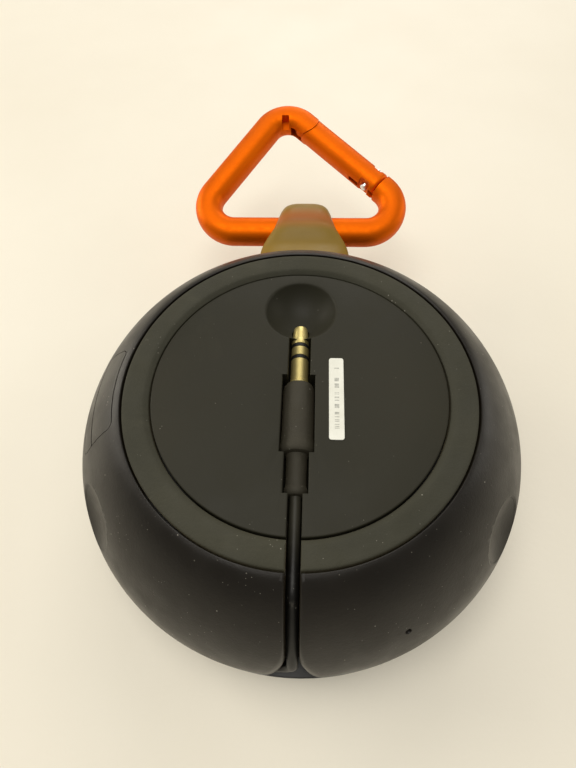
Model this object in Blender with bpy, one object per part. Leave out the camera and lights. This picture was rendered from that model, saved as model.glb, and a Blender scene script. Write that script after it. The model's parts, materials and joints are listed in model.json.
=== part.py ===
"""Round clip-on shower speaker, lying on its front grille with its back up.

Frame: origin on the body's round axis at the plane it lies on, +X to the
right flank, +Y towards the snap hook, +Z out of the flat back. Numbers below
are millimetres; meshes are written in metres.
"""

import math

import bmesh
import bpy
from mathutils import Matrix, Vector

# ---------------------------------------------------------------- dimensions
BODY_R = 47.0            # widest radius of the dome
EQUATOR_Z = 18.66        # height of that widest circle
BACK_Z = 42.0            # flat back, which is also the foot ring's top
SHOULDER_R = 33.2        # where the dome ends and the foot ring begins
WALL = 2.3               # dome wall
RING_OUT, RING_IN, RING_LIP = 32.9, 28.0, 28.9
PANEL_R, PANEL_Z = 27.7, 41.5
SPLIT_Z = 16.9           # lower edge of the dome, upper lip of the cable groove
GROOVE_Z = 14.0          # lower lip of the cable groove
GROOVE_R = 43.6          # floor of the cable groove
CABLE_R = 1.05
CABLE_RIM_R, CABLE_RIM_Z = 45.2, 15.42
PLUG_Z = 38.0            # height of the plug's axis in its dock
BOWL_Y, BOWL_R, BOWL_DEEP = 18.3, 7.2, 4.6
SLOT_W = 2.5
SLOT_DEEP = 4.7
KEY_AZ = 30.0            # keys lie this far above and below the X axis
KEY_HOLE_R, KEY_R, KEY_FLANGE_R = 6.5, 6.2, 7.0
KEY_TRAVEL = 0.5
FLAP_R0, FLAP_R1, FLAP_R2 = 34.9, 40.4, 43.2
FLAP_AZ, FLAP_HALF = 180.8, 13.8
FLAP_T = 1.2
FLAP_HINGE = (-39.9, 0, 35.3)
MIC_AZ, MIC_HOLE_R = -63.9, 0.5
BADGE_R = 14.0
GRILLE_R = 40.8
POST_X, POST_Y = 23.1, 27.6
BAR_Y, BAR_Z = 57.8, 25.0     # axis of the snap hook's bar in the rubber loop
HOOK_TILT = 16.6              # degrees the hook stands above level
HOOK_W, HOOK_T = 7.3, 6.9     # section of the hook's frame
BORE_R = 4.0                  # hole through the rubber loop
APEX = (-5.6, 28.6, 6.7)      # hook corners in its own plane: across, along, radius
LEFT = (-19.1, 7.4, 7.4)
RIGHT = (16.0, 7.4, 7.4)
NOSE_BACK = 2.5               # nose stops this far before the right corner
GAP = 0.3

SEG_OUT, SEG_IN = 40, 18

for thing in list(bpy.data.objects):
    bpy.data.objects.remove(thing, do_unlink=True)

MATERIALS = {}


def material(name, colour, roughness, metallic=0.0):
    """Principled material; colour is sRGB 0-255."""
    made = MATERIALS.get(name)
    if made is None:
        made = bpy.data.materials.new(name)
        made.use_nodes = True
        shader = made.node_tree.nodes["Principled BSDF"]
        linear = [((c / 255 + 0.055) / 1.055) ** 2.4 if c > 10 else c / 255 / 12.92 for c in colour]
        shader.inputs["Base Color"].default_value = (*linear, 1)
        shader.inputs["Roughness"].default_value = roughness
        shader.inputs["Metallic"].default_value = metallic
        made.diffuse_color = (*linear, 1)
        MATERIALS[name] = made
    return made


RUBBER = ("rubber", (34, 32, 29), 0.62)
RING_RUBBER = ("ring_rubber", (56, 56, 48), 0.85)
PANEL_ABS = ("panel_plastic", (50, 48, 40), 0.55)
DARK_ABS = ("dark_plastic", (24, 24, 24), 0.5)
ORANGE = ("orange_anodised", (224, 98, 4), 0.28, 0.85)
STEEL = ("steel", (200, 200, 198), 0.25, 1.0)
GOLD = ("gold_plate", (214, 190, 118), 0.22, 1.0)
LOOP = ("loop_rubber", (108, 94, 56), 0.6)
CORD = ("cable_rubber", (26, 25, 24), 0.6)
PAPER = ("label_paper", (226, 228, 216), 0.5)
CLOTH = ("grille_cloth", (30, 30, 32), 0.9)
METAL_DARK = ("dark_steel", (90, 90, 94), 0.4, 0.9)
BOARD = ("board_green", (28, 84, 48), 0.5)
CELL = ("cell_foil", (168, 172, 178), 0.4, 0.5)
FERRITE = ("ferrite", (52, 50, 52), 0.7)
PULP = ("cone_paper", (38, 38, 40), 0.85)
COPPER = ("copper", (184, 110, 62), 0.35, 1.0)


# ---------------------------------------------------------------- mesh tools
def finish(name, bm, look=None, sharp=32):
    bmesh.ops.remove_doubles(bm, verts=bm.verts, dist=1e-7)
    bmesh.ops.recalc_face_normals(bm, faces=bm.faces)
    limit = math.radians(sharp)
    for face in bm.faces:
        face.smooth = True
    for edge in bm.edges:
        edge.smooth = len(edge.link_faces) == 2 and edge.calc_face_angle(0) < limit
    mesh = bpy.data.meshes.new(name)
    bm.to_mesh(mesh)
    bm.free()
    thing = bpy.data.objects.new(name, mesh)
    bpy.context.collection.objects.link(thing)
    if look:
        mesh.materials.append(material(*look))
    return thing


def revolve(name, profile, segments, look=None, sharp=32):
    """Closed (radius, height) outline turned round Z; points at radius 0 become poles."""
    bm = bmesh.new()
    rings = []
    for r, z in profile:
        if r < 1e-6:
            rings.append([bm.verts.new((0, 0, z / 1000))])
        else:
            rings.append([
                bm.verts.new((r * math.cos(a) / 1000, r * math.sin(a) / 1000, z / 1000))
                for a in (2 * math.pi * (i + 0.5) / segments for i in range(segments))
            ])
    for low, high in zip(rings, rings[1:] + rings[:1]):
        if len(low) == 1 and len(high) == 1:
            continue
        for i in range(segments):
            j = (i + 1) % segments
            if len(low) == 1:
                bm.faces.new((low[0], high[i], high[j]))
            elif len(high) == 1:
                bm.faces.new((low[i], low[j], high[0]))
            else:
                bm.faces.new((low[i], low[j], high[j], high[i]))
    return finish(name, bm, look, sharp)


def prism(name, outline, low, high, place, look=None, sharp=32):
    """Flat outline pushed from low to high; place(u, v, w) gives the world point."""
    bm = bmesh.new()
    ends = [[bm.verts.new(Vector(place(u, v, w)) / 1000) for u, v in outline] for w in (low, high)]
    bm.faces.new(ends[0])
    bm.faces.new(ends[1])
    for i in range(len(outline)):
        j = (i + 1) % len(outline)
        bm.faces.new((ends[0][i], ends[0][j], ends[1][j], ends[1][i]))
    bm.normal_update()
    bmesh.ops.triangulate(bm, faces=[f for f in bm.faces if len(f.verts) > 4])
    return finish(name, bm, look, sharp)


def along_z(u, v, w):
    return (u, v, w)


def along_x(u, v, w):
    return (w, u, v)


def along_y(u, v, w):
    return (u, w, v)


def box(name, low, high, look=None):
    return prism(name, [(low[0], low[1]), (high[0], low[1]), (high[0], high[1]), (low[0], high[1])],
                 low[2], high[2], along_z, look)


def rounded(cx, cy, w, h, r, steps=4):
    """Outline of a rounded rectangle."""
    points = []
    for sx, sy, start in ((1, 1, 0), (-1, 1, 90), (-1, -1, 180), (1, -1, 270)):
        for i in range(steps + 1):
            a = math.radians(start + 90 * i / steps)
            points.append((cx + sx * (w / 2 - r) + r * math.cos(a), cy + sy * (h / 2 - r) + r * math.sin(a)))
    return points


def disc(cx, cy, r, steps):
    return [(cx + r * math.cos(2 * math.pi * i / steps), cy + r * math.sin(2 * math.pi * i / steps))
            for i in range(steps)]


def rod(name, start, end, r, steps=16, look=None):
    """Cylinder between two points."""
    start, end = Vector(start), Vector(end)
    axis = (end - start).normalized()
    side = axis.orthogonal().normalized()
    other = axis.cross(side)
    return prism(name, disc(0, 0, r, steps), 0, (end - start).length,
                 lambda u, v, w: start + side * u + other * v + axis * w, look)


def sweep(name, path, section, up, look=None, sharp=32):
    """Section (across, up) carried along a path; up(i) is the section's second axis there."""
    bm = bmesh.new()
    rings = []
    for i, here in enumerate(path):
        back, ahead = path[max(i - 1, 0)], path[min(i + 1, len(path) - 1)]
        along = (Vector(ahead) - Vector(back)).normalized()
        second = Vector(up(i))
        across = along.cross(second).normalized()
        second = across.cross(along).normalized()
        rings.append([bm.verts.new((Vector(here) + across * a + second * b) / 1000) for a, b in section(i)])
    for low, high in zip(rings, rings[1:]):
        for i in range(len(low)):
            j = (i + 1) % len(low)
            bm.faces.new((low[i], low[j], high[j], high[i]))
    bm.faces.new(rings[0])
    bm.faces.new(rings[-1])
    return finish(name, bm, look, sharp)


def volume(mesh):
    bm = bmesh.new()
    bm.from_mesh(mesh)
    found = bm.calc_volume(signed=True)
    bm.free()
    return found


def sound(bm, how, first, second):
    """Whether a Boolean's result is closed and its volume is one that the two shapes can give."""
    low, high = {"DIFFERENCE": (first - second, first), "UNION": (max(first, second), first + second),
                 "INTERSECT": (0, min(first, second))}[how]
    size = bm.calc_volume(signed=True) if bm.faces else -1
    slack = 1e-4 * max(first, second)
    return all(edge.is_manifold for edge in bm.edges) and low - slack <= size <= high + slack and size > 0


def combine(target, tool, how, keep=False):
    """Boolean of target with tool, applied at once: Exact, or Manifold where Exact leaves a wrong mesh."""
    materials = list(target.data.materials)
    limit = math.radians(32)
    sizes = volume(target.data), volume(tool.data)
    for solver in ("EXACT", "MANIFOLD"):
        modifier = target.modifiers.new(how.lower(), "BOOLEAN")
        modifier.operation, modifier.solver, modifier.object = how, solver, tool
        bpy.context.view_layer.update()
        result = bpy.data.meshes.new_from_object(target.evaluated_get(bpy.context.evaluated_depsgraph_get()))
        target.modifiers.clear()
        bm = bmesh.new()
        bm.from_mesh(result)
        bmesh.ops.remove_doubles(bm, verts=bm.verts, dist=1e-7)
        bmesh.ops.dissolve_degenerate(bm, edges=bm.edges, dist=1e-7)
        if sound(bm, how, *sizes):
            break
    for face in bm.faces:
        face.smooth = True
        face.material_index = 0
    for edge in bm.edges:
        edge.smooth = len(edge.link_faces) == 2 and edge.calc_face_angle(0) < limit
    bm.to_mesh(result)
    bm.free()
    result.materials.clear()
    for one in materials:
        result.materials.append(one)
    old = target.data
    target.data = result
    bpy.data.meshes.remove(old)
    if not keep:
        bpy.data.objects.remove(tool, do_unlink=True)
    return target


def cut(target, tool, keep=False):
    return combine(target, tool, "DIFFERENCE", keep)


def join(target, tool, keep=False):
    return combine(target, tool, "UNION", keep)


def common(target, tool, keep=False):
    return combine(target, tool, "INTERSECT", keep)


def hinge_at(thing, point):
    """Moves an object's origin to a point without moving its shape."""
    place = Vector(point) / 1000
    thing.data.transform(Matrix.Translation(-place))
    thing.location = place
    return thing


# ---------------------------------------------------------------- the dome's outline
def dome_point(t, inset=0.0):
    """Radius and height on the dome, from the equator (0) to the shoulder (1), pushed in by inset."""
    p = ((BODY_R, EQUATOR_Z), (BODY_R, 29.9), (35.94, BACK_Z), (SHOULDER_R, BACK_Z - 0.02))
    s = 1 - t
    r, z = (s ** 3 * p[0][k] + 3 * s * s * t * p[1][k] + 3 * s * t * t * p[2][k] + t ** 3 * p[3][k] for k in (0, 1))
    dr, dz = (3 * s * s * (p[1][k] - p[0][k]) + 6 * s * t * (p[2][k] - p[1][k]) + 3 * t * t * (p[3][k] - p[2][k])
              for k in (0, 1))
    size = math.hypot(dr, dz)
    return r - inset * dz / size, z + inset * dr / size


def dome_frame(azimuth, height):
    """Point on the dome at this height, its outward normal, and the two directions along the surface."""
    low, high = 0.0, 1.0
    for _ in range(40):
        mid = (low + high) / 2
        low, high = (mid, high) if dome_point(mid)[1] < height else (low, mid)
    r, z = dome_point(low)
    r_in, z_in = dome_point(low, 1.0)
    a = math.radians(azimuth)
    radial = Vector((math.cos(a), math.sin(a), 0))
    around = Vector((-math.sin(a), math.cos(a), 0))
    normal = radial * (r - r_in) + Vector((0, 0, z - z_in))
    return radial * r + Vector((0, 0, z)), normal.normalized(), around, normal.cross(around).normalized()


def dome_outline(inset, steps, t_end=1.0):
    return [dome_point(t_end * i / steps, inset) for i in range(steps + 1)]


def solid_dome(name, inset, bottom, top):
    """The dome filled in to its axis, with its surface pushed in by inset."""
    line = dome_outline(inset, 10)
    edge = [(line[0][0], bottom)] + line + [(line[-1][0], top)] if top > line[-1][1] + 0.01 else \
        [(line[0][0], bottom)] + line
    return revolve(name, [(0, bottom)] + edge + [(0, edge[-1][1])], SEG_OUT)


# ---------------------------------------------------------------- rear housing
SEAT_Z = 38.6            # floor under foot ring and panel
DECK_Z = 36.9            # underside of that floor
DECK_R = 25.0            # its round opening

cavity_line = [(r, z) for r, z in dome_outline(WALL, 6, 0.93) if z > 21.5 and z < DECK_Z - 0.2]
cavity = revolve("cavity", [(0, 15.0), (43.95, 15.0), (43.95, 20.8)] + cavity_line
                 + [(cavity_line[-1][0] - 0.7, DECK_Z), (DECK_R, DECK_Z), (DECK_R, 45.0), (0, 45.0)], SEG_OUT)

# Solid ribs left standing inside the cavity.
cut(cavity, prism("rib", [(-50, 19.0), (-40.9, 19.0), (-38.9, 24.5), (-36.2, 30.0), (-31.5, 33.6), (-24.0, 34.2),
                          (-24.0, 46.0), (-50, 46.0)], -3.6, 3.6, along_x))
cut(cavity, box("port_block", (-46, -6.8, 34.2), (-34.2, 6.8, 44)))
cut(cavity, box("loop_block", (-10.0, 41.4, 18.9), (10.0, 48, 31.4)))
KEYS = []
for tag, azimuth in (("left_lower", 180 + KEY_AZ), ("right_lower", -KEY_AZ),
                     ("left_upper", 180 - KEY_AZ), ("right_upper", KEY_AZ)):
    KEYS.append((tag, *dome_frame(azimuth, 28.8)))
for tag, point, normal, around, down in KEYS:
    cut(cavity, rod("seat", point + normal * 1.0, point - normal * 4.4, 7.9, 20))
for sx in (-1, 1):
    for sy in (-1, 1):
        cut(cavity, rod("post", (sx * POST_X, sy * POST_Y, 10.6), (sx * POST_X, sy * POST_Y, 41), 2.7, 12))

dome_line = dome_outline(0, 10)
housing = revolve("rear_housing", [(0, SPLIT_Z), (46.5, SPLIT_Z), (46.85, SPLIT_Z + 0.45)] + dome_line
                  + [(SHOULDER_R, SEAT_Z), (0, SEAT_Z)], SEG_OUT, RUBBER)

# Screw bores in the posts.
for sx in (-1, 1):
    for sy in (-1, 1):
        cut(housing, rod("bore", (sx * POST_X, sy * POST_Y, 8), (sx * POST_X, sy * POST_Y, 20), 1.4, 12))

# Cable slot down the dome, flared where it meets the groove.
floor_side = [(-42.1, 14.0), (-42.1, 18.0)]
floor_side += [(-r, z) for r, z in dome_outline(SLOT_DEEP, 6, 0.8)[1:] if z < 36.0]
floor_side += [(-31.5, 36.3), (-20.0, 36.3)]
cut(housing, prism("channel", floor_side + [(-20.0, 50.0), (-55.0, 50.0), (-55.0, 14.0)],
                   -SLOT_W / 2, SLOT_W / 2, along_x))
flare_r = 3.2
flare = [(-(SLOT_W / 2 + flare_r), 15.0), (-(SLOT_W / 2 + flare_r), SPLIT_Z)]
flare += [(-(SLOT_W / 2 + flare_r * (1 - math.sin(math.radians(a)))), SPLIT_Z + flare_r * (1 - math.cos(math.radians(a))))
          for a in range(18, 91, 18)]
flare += [(-x, z) for x, z in reversed(flare)]
cut(housing, prism("flare", flare, -52, -43.2, along_y))

# Key openings.
for tag, point, normal, around, down in KEYS:
    cut(housing, rod("key_hole", point + normal * 3.0, point - normal * 8.0, KEY_HOLE_R, 20))

# Port flap recess, its root strip recess, and the well and mouth behind the flap.


def sector(name, r_in, r_out, half, low, high, grow=0.0):
    outline = []
    count = 6
    for r, order in ((r_in - grow, range(count + 1)), (r_out + grow, range(count, -1, -1))):
        side = half + math.degrees(grow / r)
        for i in order:
            a = math.radians(FLAP_AZ - side + 2 * side * i / count)
            outline.append((r * math.cos(a), r * math.sin(a)))
    return prism(name, outline, low, high, along_z)


under_flap = solid_dome("under_flap", FLAP_T + GAP, 10, 20)
recess = sector("recess", FLAP_R0, FLAP_R2, FLAP_HALF, 26, 46, 0.25)
cut(recess, under_flap)
cut(housing, recess)
cut(housing, box("well", (-39.6, -5.2, 35.9), (-35.5, 5.2, 46)))
cut(housing, box("mouth", (-36.5, -4.2, 34.9), (-28.0, 4.2, 38.35)))

# Loop opening and microphone hole.
cut(housing, box("loop_hole", (-8.3, 36, 20.3), (8.3, 50, 27.9)))
mic_point, mic_normal, mic_around, mic_down = dome_frame(MIC_AZ, 29.5)
cut(housing, rod("mic_hole", mic_point + mic_normal * 2, mic_point - mic_normal * 5, MIC_HOLE_R, 12))

# Room for the bowl in the floor, then the hollow itself.
cut(housing, rod("bowl_room", (0, BOWL_Y, 34), (0, BOWL_Y, 46), 9.4, 24))
cut(housing, cavity)

# ---------------------------------------------------------------- flap and its fixed strip
for name, r_in, r_out in (("usb_flap", FLAP_R0, FLAP_R1), ("usb_flap_root", FLAP_R1 + 0.35, FLAP_R2)):
    piece = sector(name, r_in + 0.05, r_out, FLAP_HALF, 27, 46)
    common(piece, solid_dome("skin", 0.0, 10, 20))
    cut(piece, solid_dome("core", FLAP_T, 10, 20))
    piece.data.materials.clear()
    piece.data.materials.append(material(*RUBBER))
    if name == "usb_flap":
        # Thin band along the outer edge, where the rubber bends.
        band = solid_dome("band", 0.5, 10, 20)
        cut(band, rod("band_core", (0, 0, 5), (0, 0, 60), 38.7, 40))
        cut(piece, band)
        plug = box("flap_plug", (-38.6, -4.6, 37.6), (-36.0, 4.6, 39.0))
        common(plug, solid_dome("skin", 0.9, 10, 20))
        join(piece, plug)
        hinge_at(piece, FLAP_HINGE)

# ---------------------------------------------------------------- keys and their switches
for tag, point, normal, around, down in KEYS:
    key = rod("key_" + tag, point + normal * 3.0, point - normal * 4.9, KEY_R, 20, RUBBER)
    common(key, solid_dome("skin", 0.0, 10, 20))
    dish_r = 18.5
    centre = point + normal * (dish_r - 1.75)
    ball = bmesh.new()
    bmesh.ops.create_uvsphere(ball, u_segments=20, v_segments=22, radius=dish_r / 1000)
    bmesh.ops.transform(ball, matrix=Matrix.Translation(centre / 1000)
                        @ Vector((0, 0, 1)).rotation_difference(normal).to_matrix().to_4x4(), verts=ball.verts)
    cut(key, finish("dish", ball))
    join(key, rod("flange", point - normal * 4.7, point - normal * 5.5, KEY_FLANGE_R, 16))
    join(key, rod("stem", point - normal * 5.3, point - normal * 7.0, 1.5, 8))
    hinge_at(key, point)
    side, up, out = around, down, normal
    prism("switch_" + tag, rounded(0, 0, 4.6, 4.6, 0.6, 2), -9.3, -7.0 - KEY_TRAVEL - 0.15,
          lambda u, v, w: point + side * u + up * v + out * w, DARK_ABS)

# ---------------------------------------------------------------- foot ring and centre panel
ring = revolve("foot_ring", [(RING_IN, SEAT_Z + GAP), (RING_OUT, SEAT_Z + GAP), (RING_OUT, BACK_Z - 0.25),
                             (RING_OUT - 0.25, BACK_Z), (RING_LIP, BACK_Z), (RING_IN, BACK_Z - 0.75)],
               SEG_OUT, RING_RUBBER)
cut(ring, box("slot", (-SLOT_W / 2, -40, 30), (SLOT_W / 2, -20, 50)))

panel = revolve("rear_panel", [(0, 39.3), (24.6, 39.3), (24.6, SEAT_Z + GAP), (PANEL_R, SEAT_Z + GAP),
                               (PANEL_R, PANEL_Z - 0.2), (PANEL_R - 0.2, PANEL_Z), (0, PANEL_Z)], SEG_OUT, PANEL_ABS)
join(panel, box("dock_block", (-5.0, -23.6, 33.3), (5.0, 15.0, 40.4)))
join(panel, rod("bowl_block", (0, BOWL_Y, 35.0), (0, BOWL_Y, 40.4), 9.0, 24))
ball_r = (BOWL_R ** 2 + BOWL_DEEP ** 2) / (2 * BOWL_DEEP)
ball = bmesh.new()
bmesh.ops.create_uvsphere(ball, u_segments=28, v_segments=18, radius=ball_r / 1000)
bmesh.ops.translate(ball, vec=Vector((0, BOWL_Y, PANEL_Z - BOWL_DEEP + ball_r)) / 1000, verts=ball.verts)
cut(panel, finish("bowl", ball))


def trench(name, half, y0, y1, steps=8):
    """Round-bottomed trench about the plug's axis, open upwards."""
    outline = [(half * math.cos(a), PLUG_Z + half * math.sin(a))
               for a in (math.radians(180 + 180 * i / steps) for i in range(steps + 1))]
    return prism(name, outline + [(half, 47), (-half, 47)], y0, y1, along_y)


cut(panel, trench("pin_trench", 2.15, 0.0, BOWL_Y))
cut(panel, trench("plug_trench", 3.35, -25.0, 2.9))
cut(panel, box("tail_slot", (-SLOT_W / 2, -30, 36.2), (SLOT_W / 2, -22, 47)))

prism("blank_label", rounded(7.05, -1.95, 2.75, 17.1, 0.5, 3), PANEL_Z + 0.04, PANEL_Z + 0.19, along_z, PAPER)

# ---------------------------------------------------------------- docked plug
def turned(name, stations, look, segments=16):
    """Round piece on the plug's axis; stations are (y, radius), tip end first."""
    outline = [(0, stations[0][0])] + [(r, y) for y, r in stations] + [(0, stations[-1][0])]
    made = revolve(name, outline, segments, look)
    made.data.transform(Matrix(((1, 0, 0, 0), (0, 0, 1, 0), (0, -1, 0, PLUG_Z / 1000), (0, 0, 0, 1))))
    if volume(made.data) < 0:
        made.data.flip_normals()
    return made


turned("plug_tip", [(16.0, 0.9), (15.6, 1.35), (14.5, 1.5), (12.6, 1.65), (12.4, 1.75), (11.55, 1.75)], GOLD)
turned("plug_insulator_front", [(11.5, 1.72), (10.75, 1.72)], DARK_ABS)
turned("plug_ring_contact", [(10.7, 1.75), (8.75, 1.75)], GOLD)
turned("plug_insulator_rear", [(8.7, 1.72), (7.95, 1.72)], DARK_ABS)
turned("plug_sleeve", [(7.9, 1.75), (3.1, 1.75), (2.9, 1.9), (2.45, 1.9)], GOLD)
turned("plug_overmould", [(2.4, 2.2), (1.9, 2.75), (0.9, 3.0), (-6.5, 3.0), (-10.6, 3.1), (-11.8, 3.05), (-12.2, 2.7)], CORD)
turned("plug_relief", [(-12.25, 1.85), (-15.2, 1.85), (-15.5, 1.68), (-18.5, 1.68), (-18.7, 2.0), (-19.6, 2.0),
                       (-19.9, 1.8)], CORD, 16)

# ---------------------------------------------------------------- cable
def smooth_path(knots, steps):
    """Catmull-Rom curve through the knots."""
    points = []
    for i in range(len(knots) - 1):
        a, b, c, d = (Vector(knots[max(0, min(len(knots) - 1, k))]) for k in (i - 1, i, i + 1, i + 2))
        for k in range(steps):
            t = k / steps
            points.append(0.5 * (2 * b + (c - a) * t + (2 * a - 5 * b + 4 * c - d) * t * t
                                 + (3 * b - a - 3 * c + d) * t ** 3))
    return points + [Vector(knots[-1])]


def cable(name, points, look=CORD, start=1.0):
    curve = bpy.data.curves.new(name, "CURVE")
    curve.dimensions, curve.bevel_depth, curve.bevel_resolution = "3D", CABLE_R / 1000, 2
    curve.use_fill_caps = True
    line = curve.splines.new("POLY")
    line.points.add(len(points) - 1)
    for spot, point in zip(line.points, points):
        spot.co = (*(Vector(point) / 1000), 1)
    line.points[0].radius = start
    thing = bpy.data.objects.new(name, curve)
    bpy.context.collection.objects.link(thing)
    curve.materials.append(material(*look))
    return thing


def rim(azimuth, r=CABLE_RIM_R, z=CABLE_RIM_Z):
    a = math.radians(azimuth)
    return Vector((r * math.cos(a), r * math.sin(a), z))


BEND_R, BEND_Z = 4.45, 20.1


def bend(angle):
    """Quarter turn from the groove up into the slot."""
    x = -BEND_R + BEND_R * math.cos(math.radians(angle))
    return (x, -math.sqrt(CABLE_RIM_R ** 2 - x * x) + 0.25 * (angle + 90) / 90, BEND_Z + BEND_R * math.sin(math.radians(angle)))


bend_azimuth = 270 - math.degrees(math.asin(BEND_R / CABLE_RIM_R))
rim_points = [rim(-78 + (bend_azimuth - 4 + 78) * i / 40, CABLE_RIM_R, CABLE_RIM_Z) for i in range(41)]
cable("aux_cable", rim_points + [bend(a) for a in (-90, -72, -54, -36, -18, 0)])
lead_knots = [(0, -44.93, 21.25), (0, -44.6, 23.0)]
lead_knots += [(0, -r, z) for r, z in (dome_point(t, 2.0 + 1.3 * t) for t in (0.34, 0.48, 0.62))]
lead_knots += [(0, -35.6, 37.55), (0, -32.0, 38.1), (0, -27.0, PLUG_Z + 0.02), (0, -22.0, PLUG_Z), (0, -20.0, PLUG_Z)]
cable("aux_cable_lead", [(0, -44.95, BEND_Z + 0.65)] + smooth_path(lead_knots, 2), start=0.55)

# Fixed end of the cable: a short collar standing in the groove.
gland_path = [rim(a) for a in (-84.5, -83, -81.5, -80, -78.4)]
sweep("cable_gland", gland_path, lambda i: disc(0, 0, 1.16 - 0.03 * abs(i - 1), 10), lambda i: (0, 0, 1), CORD)

# ---------------------------------------------------------------- rubber loop
loop = prism("loop_tab", [(-11.6, 44.6), (-11.3, 48.2), (-9.6, 54.0), (-6.6, 60.4), (-5.6, 63.2), (-4.2, 64.6), (-2.0, 65.1),
                          (2.0, 65.1), (4.2, 64.6), (5.6, 63.2), (6.6, 60.4), (9.6, 54.0), (11.3, 48.2), (11.6, 44.6)],
             10, 40, along_z, LOOP)
side_line = [(44.6, 19.6), (50.5, 20.2)]
side_line += [(BAR_Y + 6.9 * math.cos(a), BAR_Z + 6.9 * math.sin(a))
              for a in (math.radians(-125 + 250 * i / 14) for i in range(15))]
side_line += [(50.5, 29.8), (44.6, 30.6)]
common(loop, prism("side", side_line, -20, 20, along_x))
trim = solid_dome("trim", -GAP, -5, 20)
cut(loop, trim)
join(loop, box("root", (-8.0, 39.6, 20.6), (8.0, 49.0, 27.6)))
join(loop, box("anchor", (-9.6, 38.4, 19.8), (9.6, 40.2, 28.2)))
cut(loop, rod("bore", (-20, BAR_Y, BAR_Z), (20, BAR_Y, BAR_Z), BORE_R, 24))

# ---------------------------------------------------------------- snap hook
TILT = math.radians(HOOK_TILT)
HOOK_ALONG = Vector((0, math.cos(TILT), math.sin(TILT)))
HOOK_UP = Vector((0, -math.sin(TILT), math.cos(TILT)))


def hook(a, b, c=0.0):
    """Point in the hook's own plane: a across, b away from the bar, c out of the plane."""
    return Vector((0, BAR_Y, BAR_Z)) + Vector((1, 0, 0)) * a + HOOK_ALONG * b + HOOK_UP * c


def tangent(first, second):
    """Outer tangent of two corner circles taken clockwise: its two ends and its direction."""
    dx, dy = second[0] - first[0], second[1] - first[1]
    size = math.hypot(dx, dy)
    turn = math.asin((first[2] - second[2]) / size)
    angle = math.atan2(dy, dx) + math.pi / 2 - turn
    n = Vector((math.cos(angle), math.sin(angle)))
    start, end = Vector(first[:2]) + n * first[2], Vector(second[:2]) + n * second[2]
    return start, end, (end - start).normalized()


def arc(corner, start, end, steps):
    """Points on a corner from start to end, going clockwise, ends included."""
    a0 = math.atan2(start.y - corner[1], start.x - corner[0])
    a1 = math.atan2(end.y - corner[1], end.x - corner[0])
    while a1 > a0:
        a1 -= 2 * math.pi
    return [(corner[0] + corner[2] * math.cos(a0 + (a1 - a0) * i / steps),
             corner[1] + corner[2] * math.sin(a0 + (a1 - a0) * i / steps)) for i in range(steps + 1)]


gate_start, gate_end, gate_way = tangent(APEX, RIGHT)
bar_start, bar_end, bar_way = tangent(RIGHT, LEFT)
limb_start, limb_end, limb_way = tangent(LEFT, APEX)
nose = gate_end - gate_way * NOSE_BACK
pivot = gate_start + gate_way * 0.4
inward = Vector((gate_way.y, -gate_way.x))      # from the gate towards the eye

frame_line = [tuple(nose)] + arc(RIGHT, gate_end, bar_start, 8) + arc(LEFT, bar_end, limb_start, 8) \
    + arc(APEX, limb_end, gate_start, 7) + [tuple(pivot + gate_way * 0.2)]


def oval(w, t, steps=12):
    return [(w / 2 * math.cos(2 * math.pi * (i + 0.5) / steps), t / 2 * math.sin(2 * math.pi * (i + 0.5) / steps))
            for i in range(steps)]


frame = sweep("carabiner_frame", [hook(*p) for p in frame_line], lambda i: oval(HOOK_W, HOOK_T), lambda i: HOOK_UP, ORANGE)


def in_hook(outline, low, high, name, look=None):
    return prism(name, outline, low, high, lambda u, v, w: hook(u, v, w), look)


def on_gate(s, w):
    """Point s along the gate from its pivot and w towards the eye."""
    p = pivot + gate_way * s + inward * w
    return (p.x, p.y)


def plate(s0, s1, w0, w1):
    return [on_gate(s0, w0), on_gate(s1, w0), on_gate(s1, w1), on_gate(s0, w1)]


# Round hinge cheeks at the frame's upper end, split for the gate's tongue.
cheek = in_hook(disc(pivot.x, pivot.y, HOOK_W / 2, 24), -2.95, 2.95, "cheek")
join(frame, cheek)
cut(frame, in_hook(disc(pivot.x, pivot.y, 4.3, 24), -1.45, 1.45, "tongue_slot"))
cut(frame, in_hook(plate(-9.5, -3.0, -0.2, 1.8), -0.9, 0.9, "spring_slot"))
cut(frame, in_hook(disc(pivot.x, pivot.y, 1.08, 16), -6, 6, "pivot_hole"))

gate_len = (nose - pivot).length - 0.5
gate_line = [hook(*on_gate(s, 0)) for s in (1.0, gate_len - 0.5, gate_len)]
gate = sweep("carabiner_gate", gate_line, lambda i: oval(*((7.0, 6.5) if i < 2 else (6.3, 5.8))), lambda i: HOOK_UP, ORANGE)
cut(gate, in_hook(disc(pivot.x, pivot.y, 4.05, 28), -6, 6, "round_end"))
tongue = in_hook(plate(0, 6.2, -2.2, 2.2), -1.1, 1.1, "tongue")
join(tongue, in_hook(disc(pivot.x, pivot.y, 2.9, 20), -1.1, 1.1, "tongue_eye"))
join(gate, tongue)
cut(gate, in_hook(disc(pivot.x, pivot.y, 1.08, 16), -6, 6, "pivot_hole"))
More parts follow.
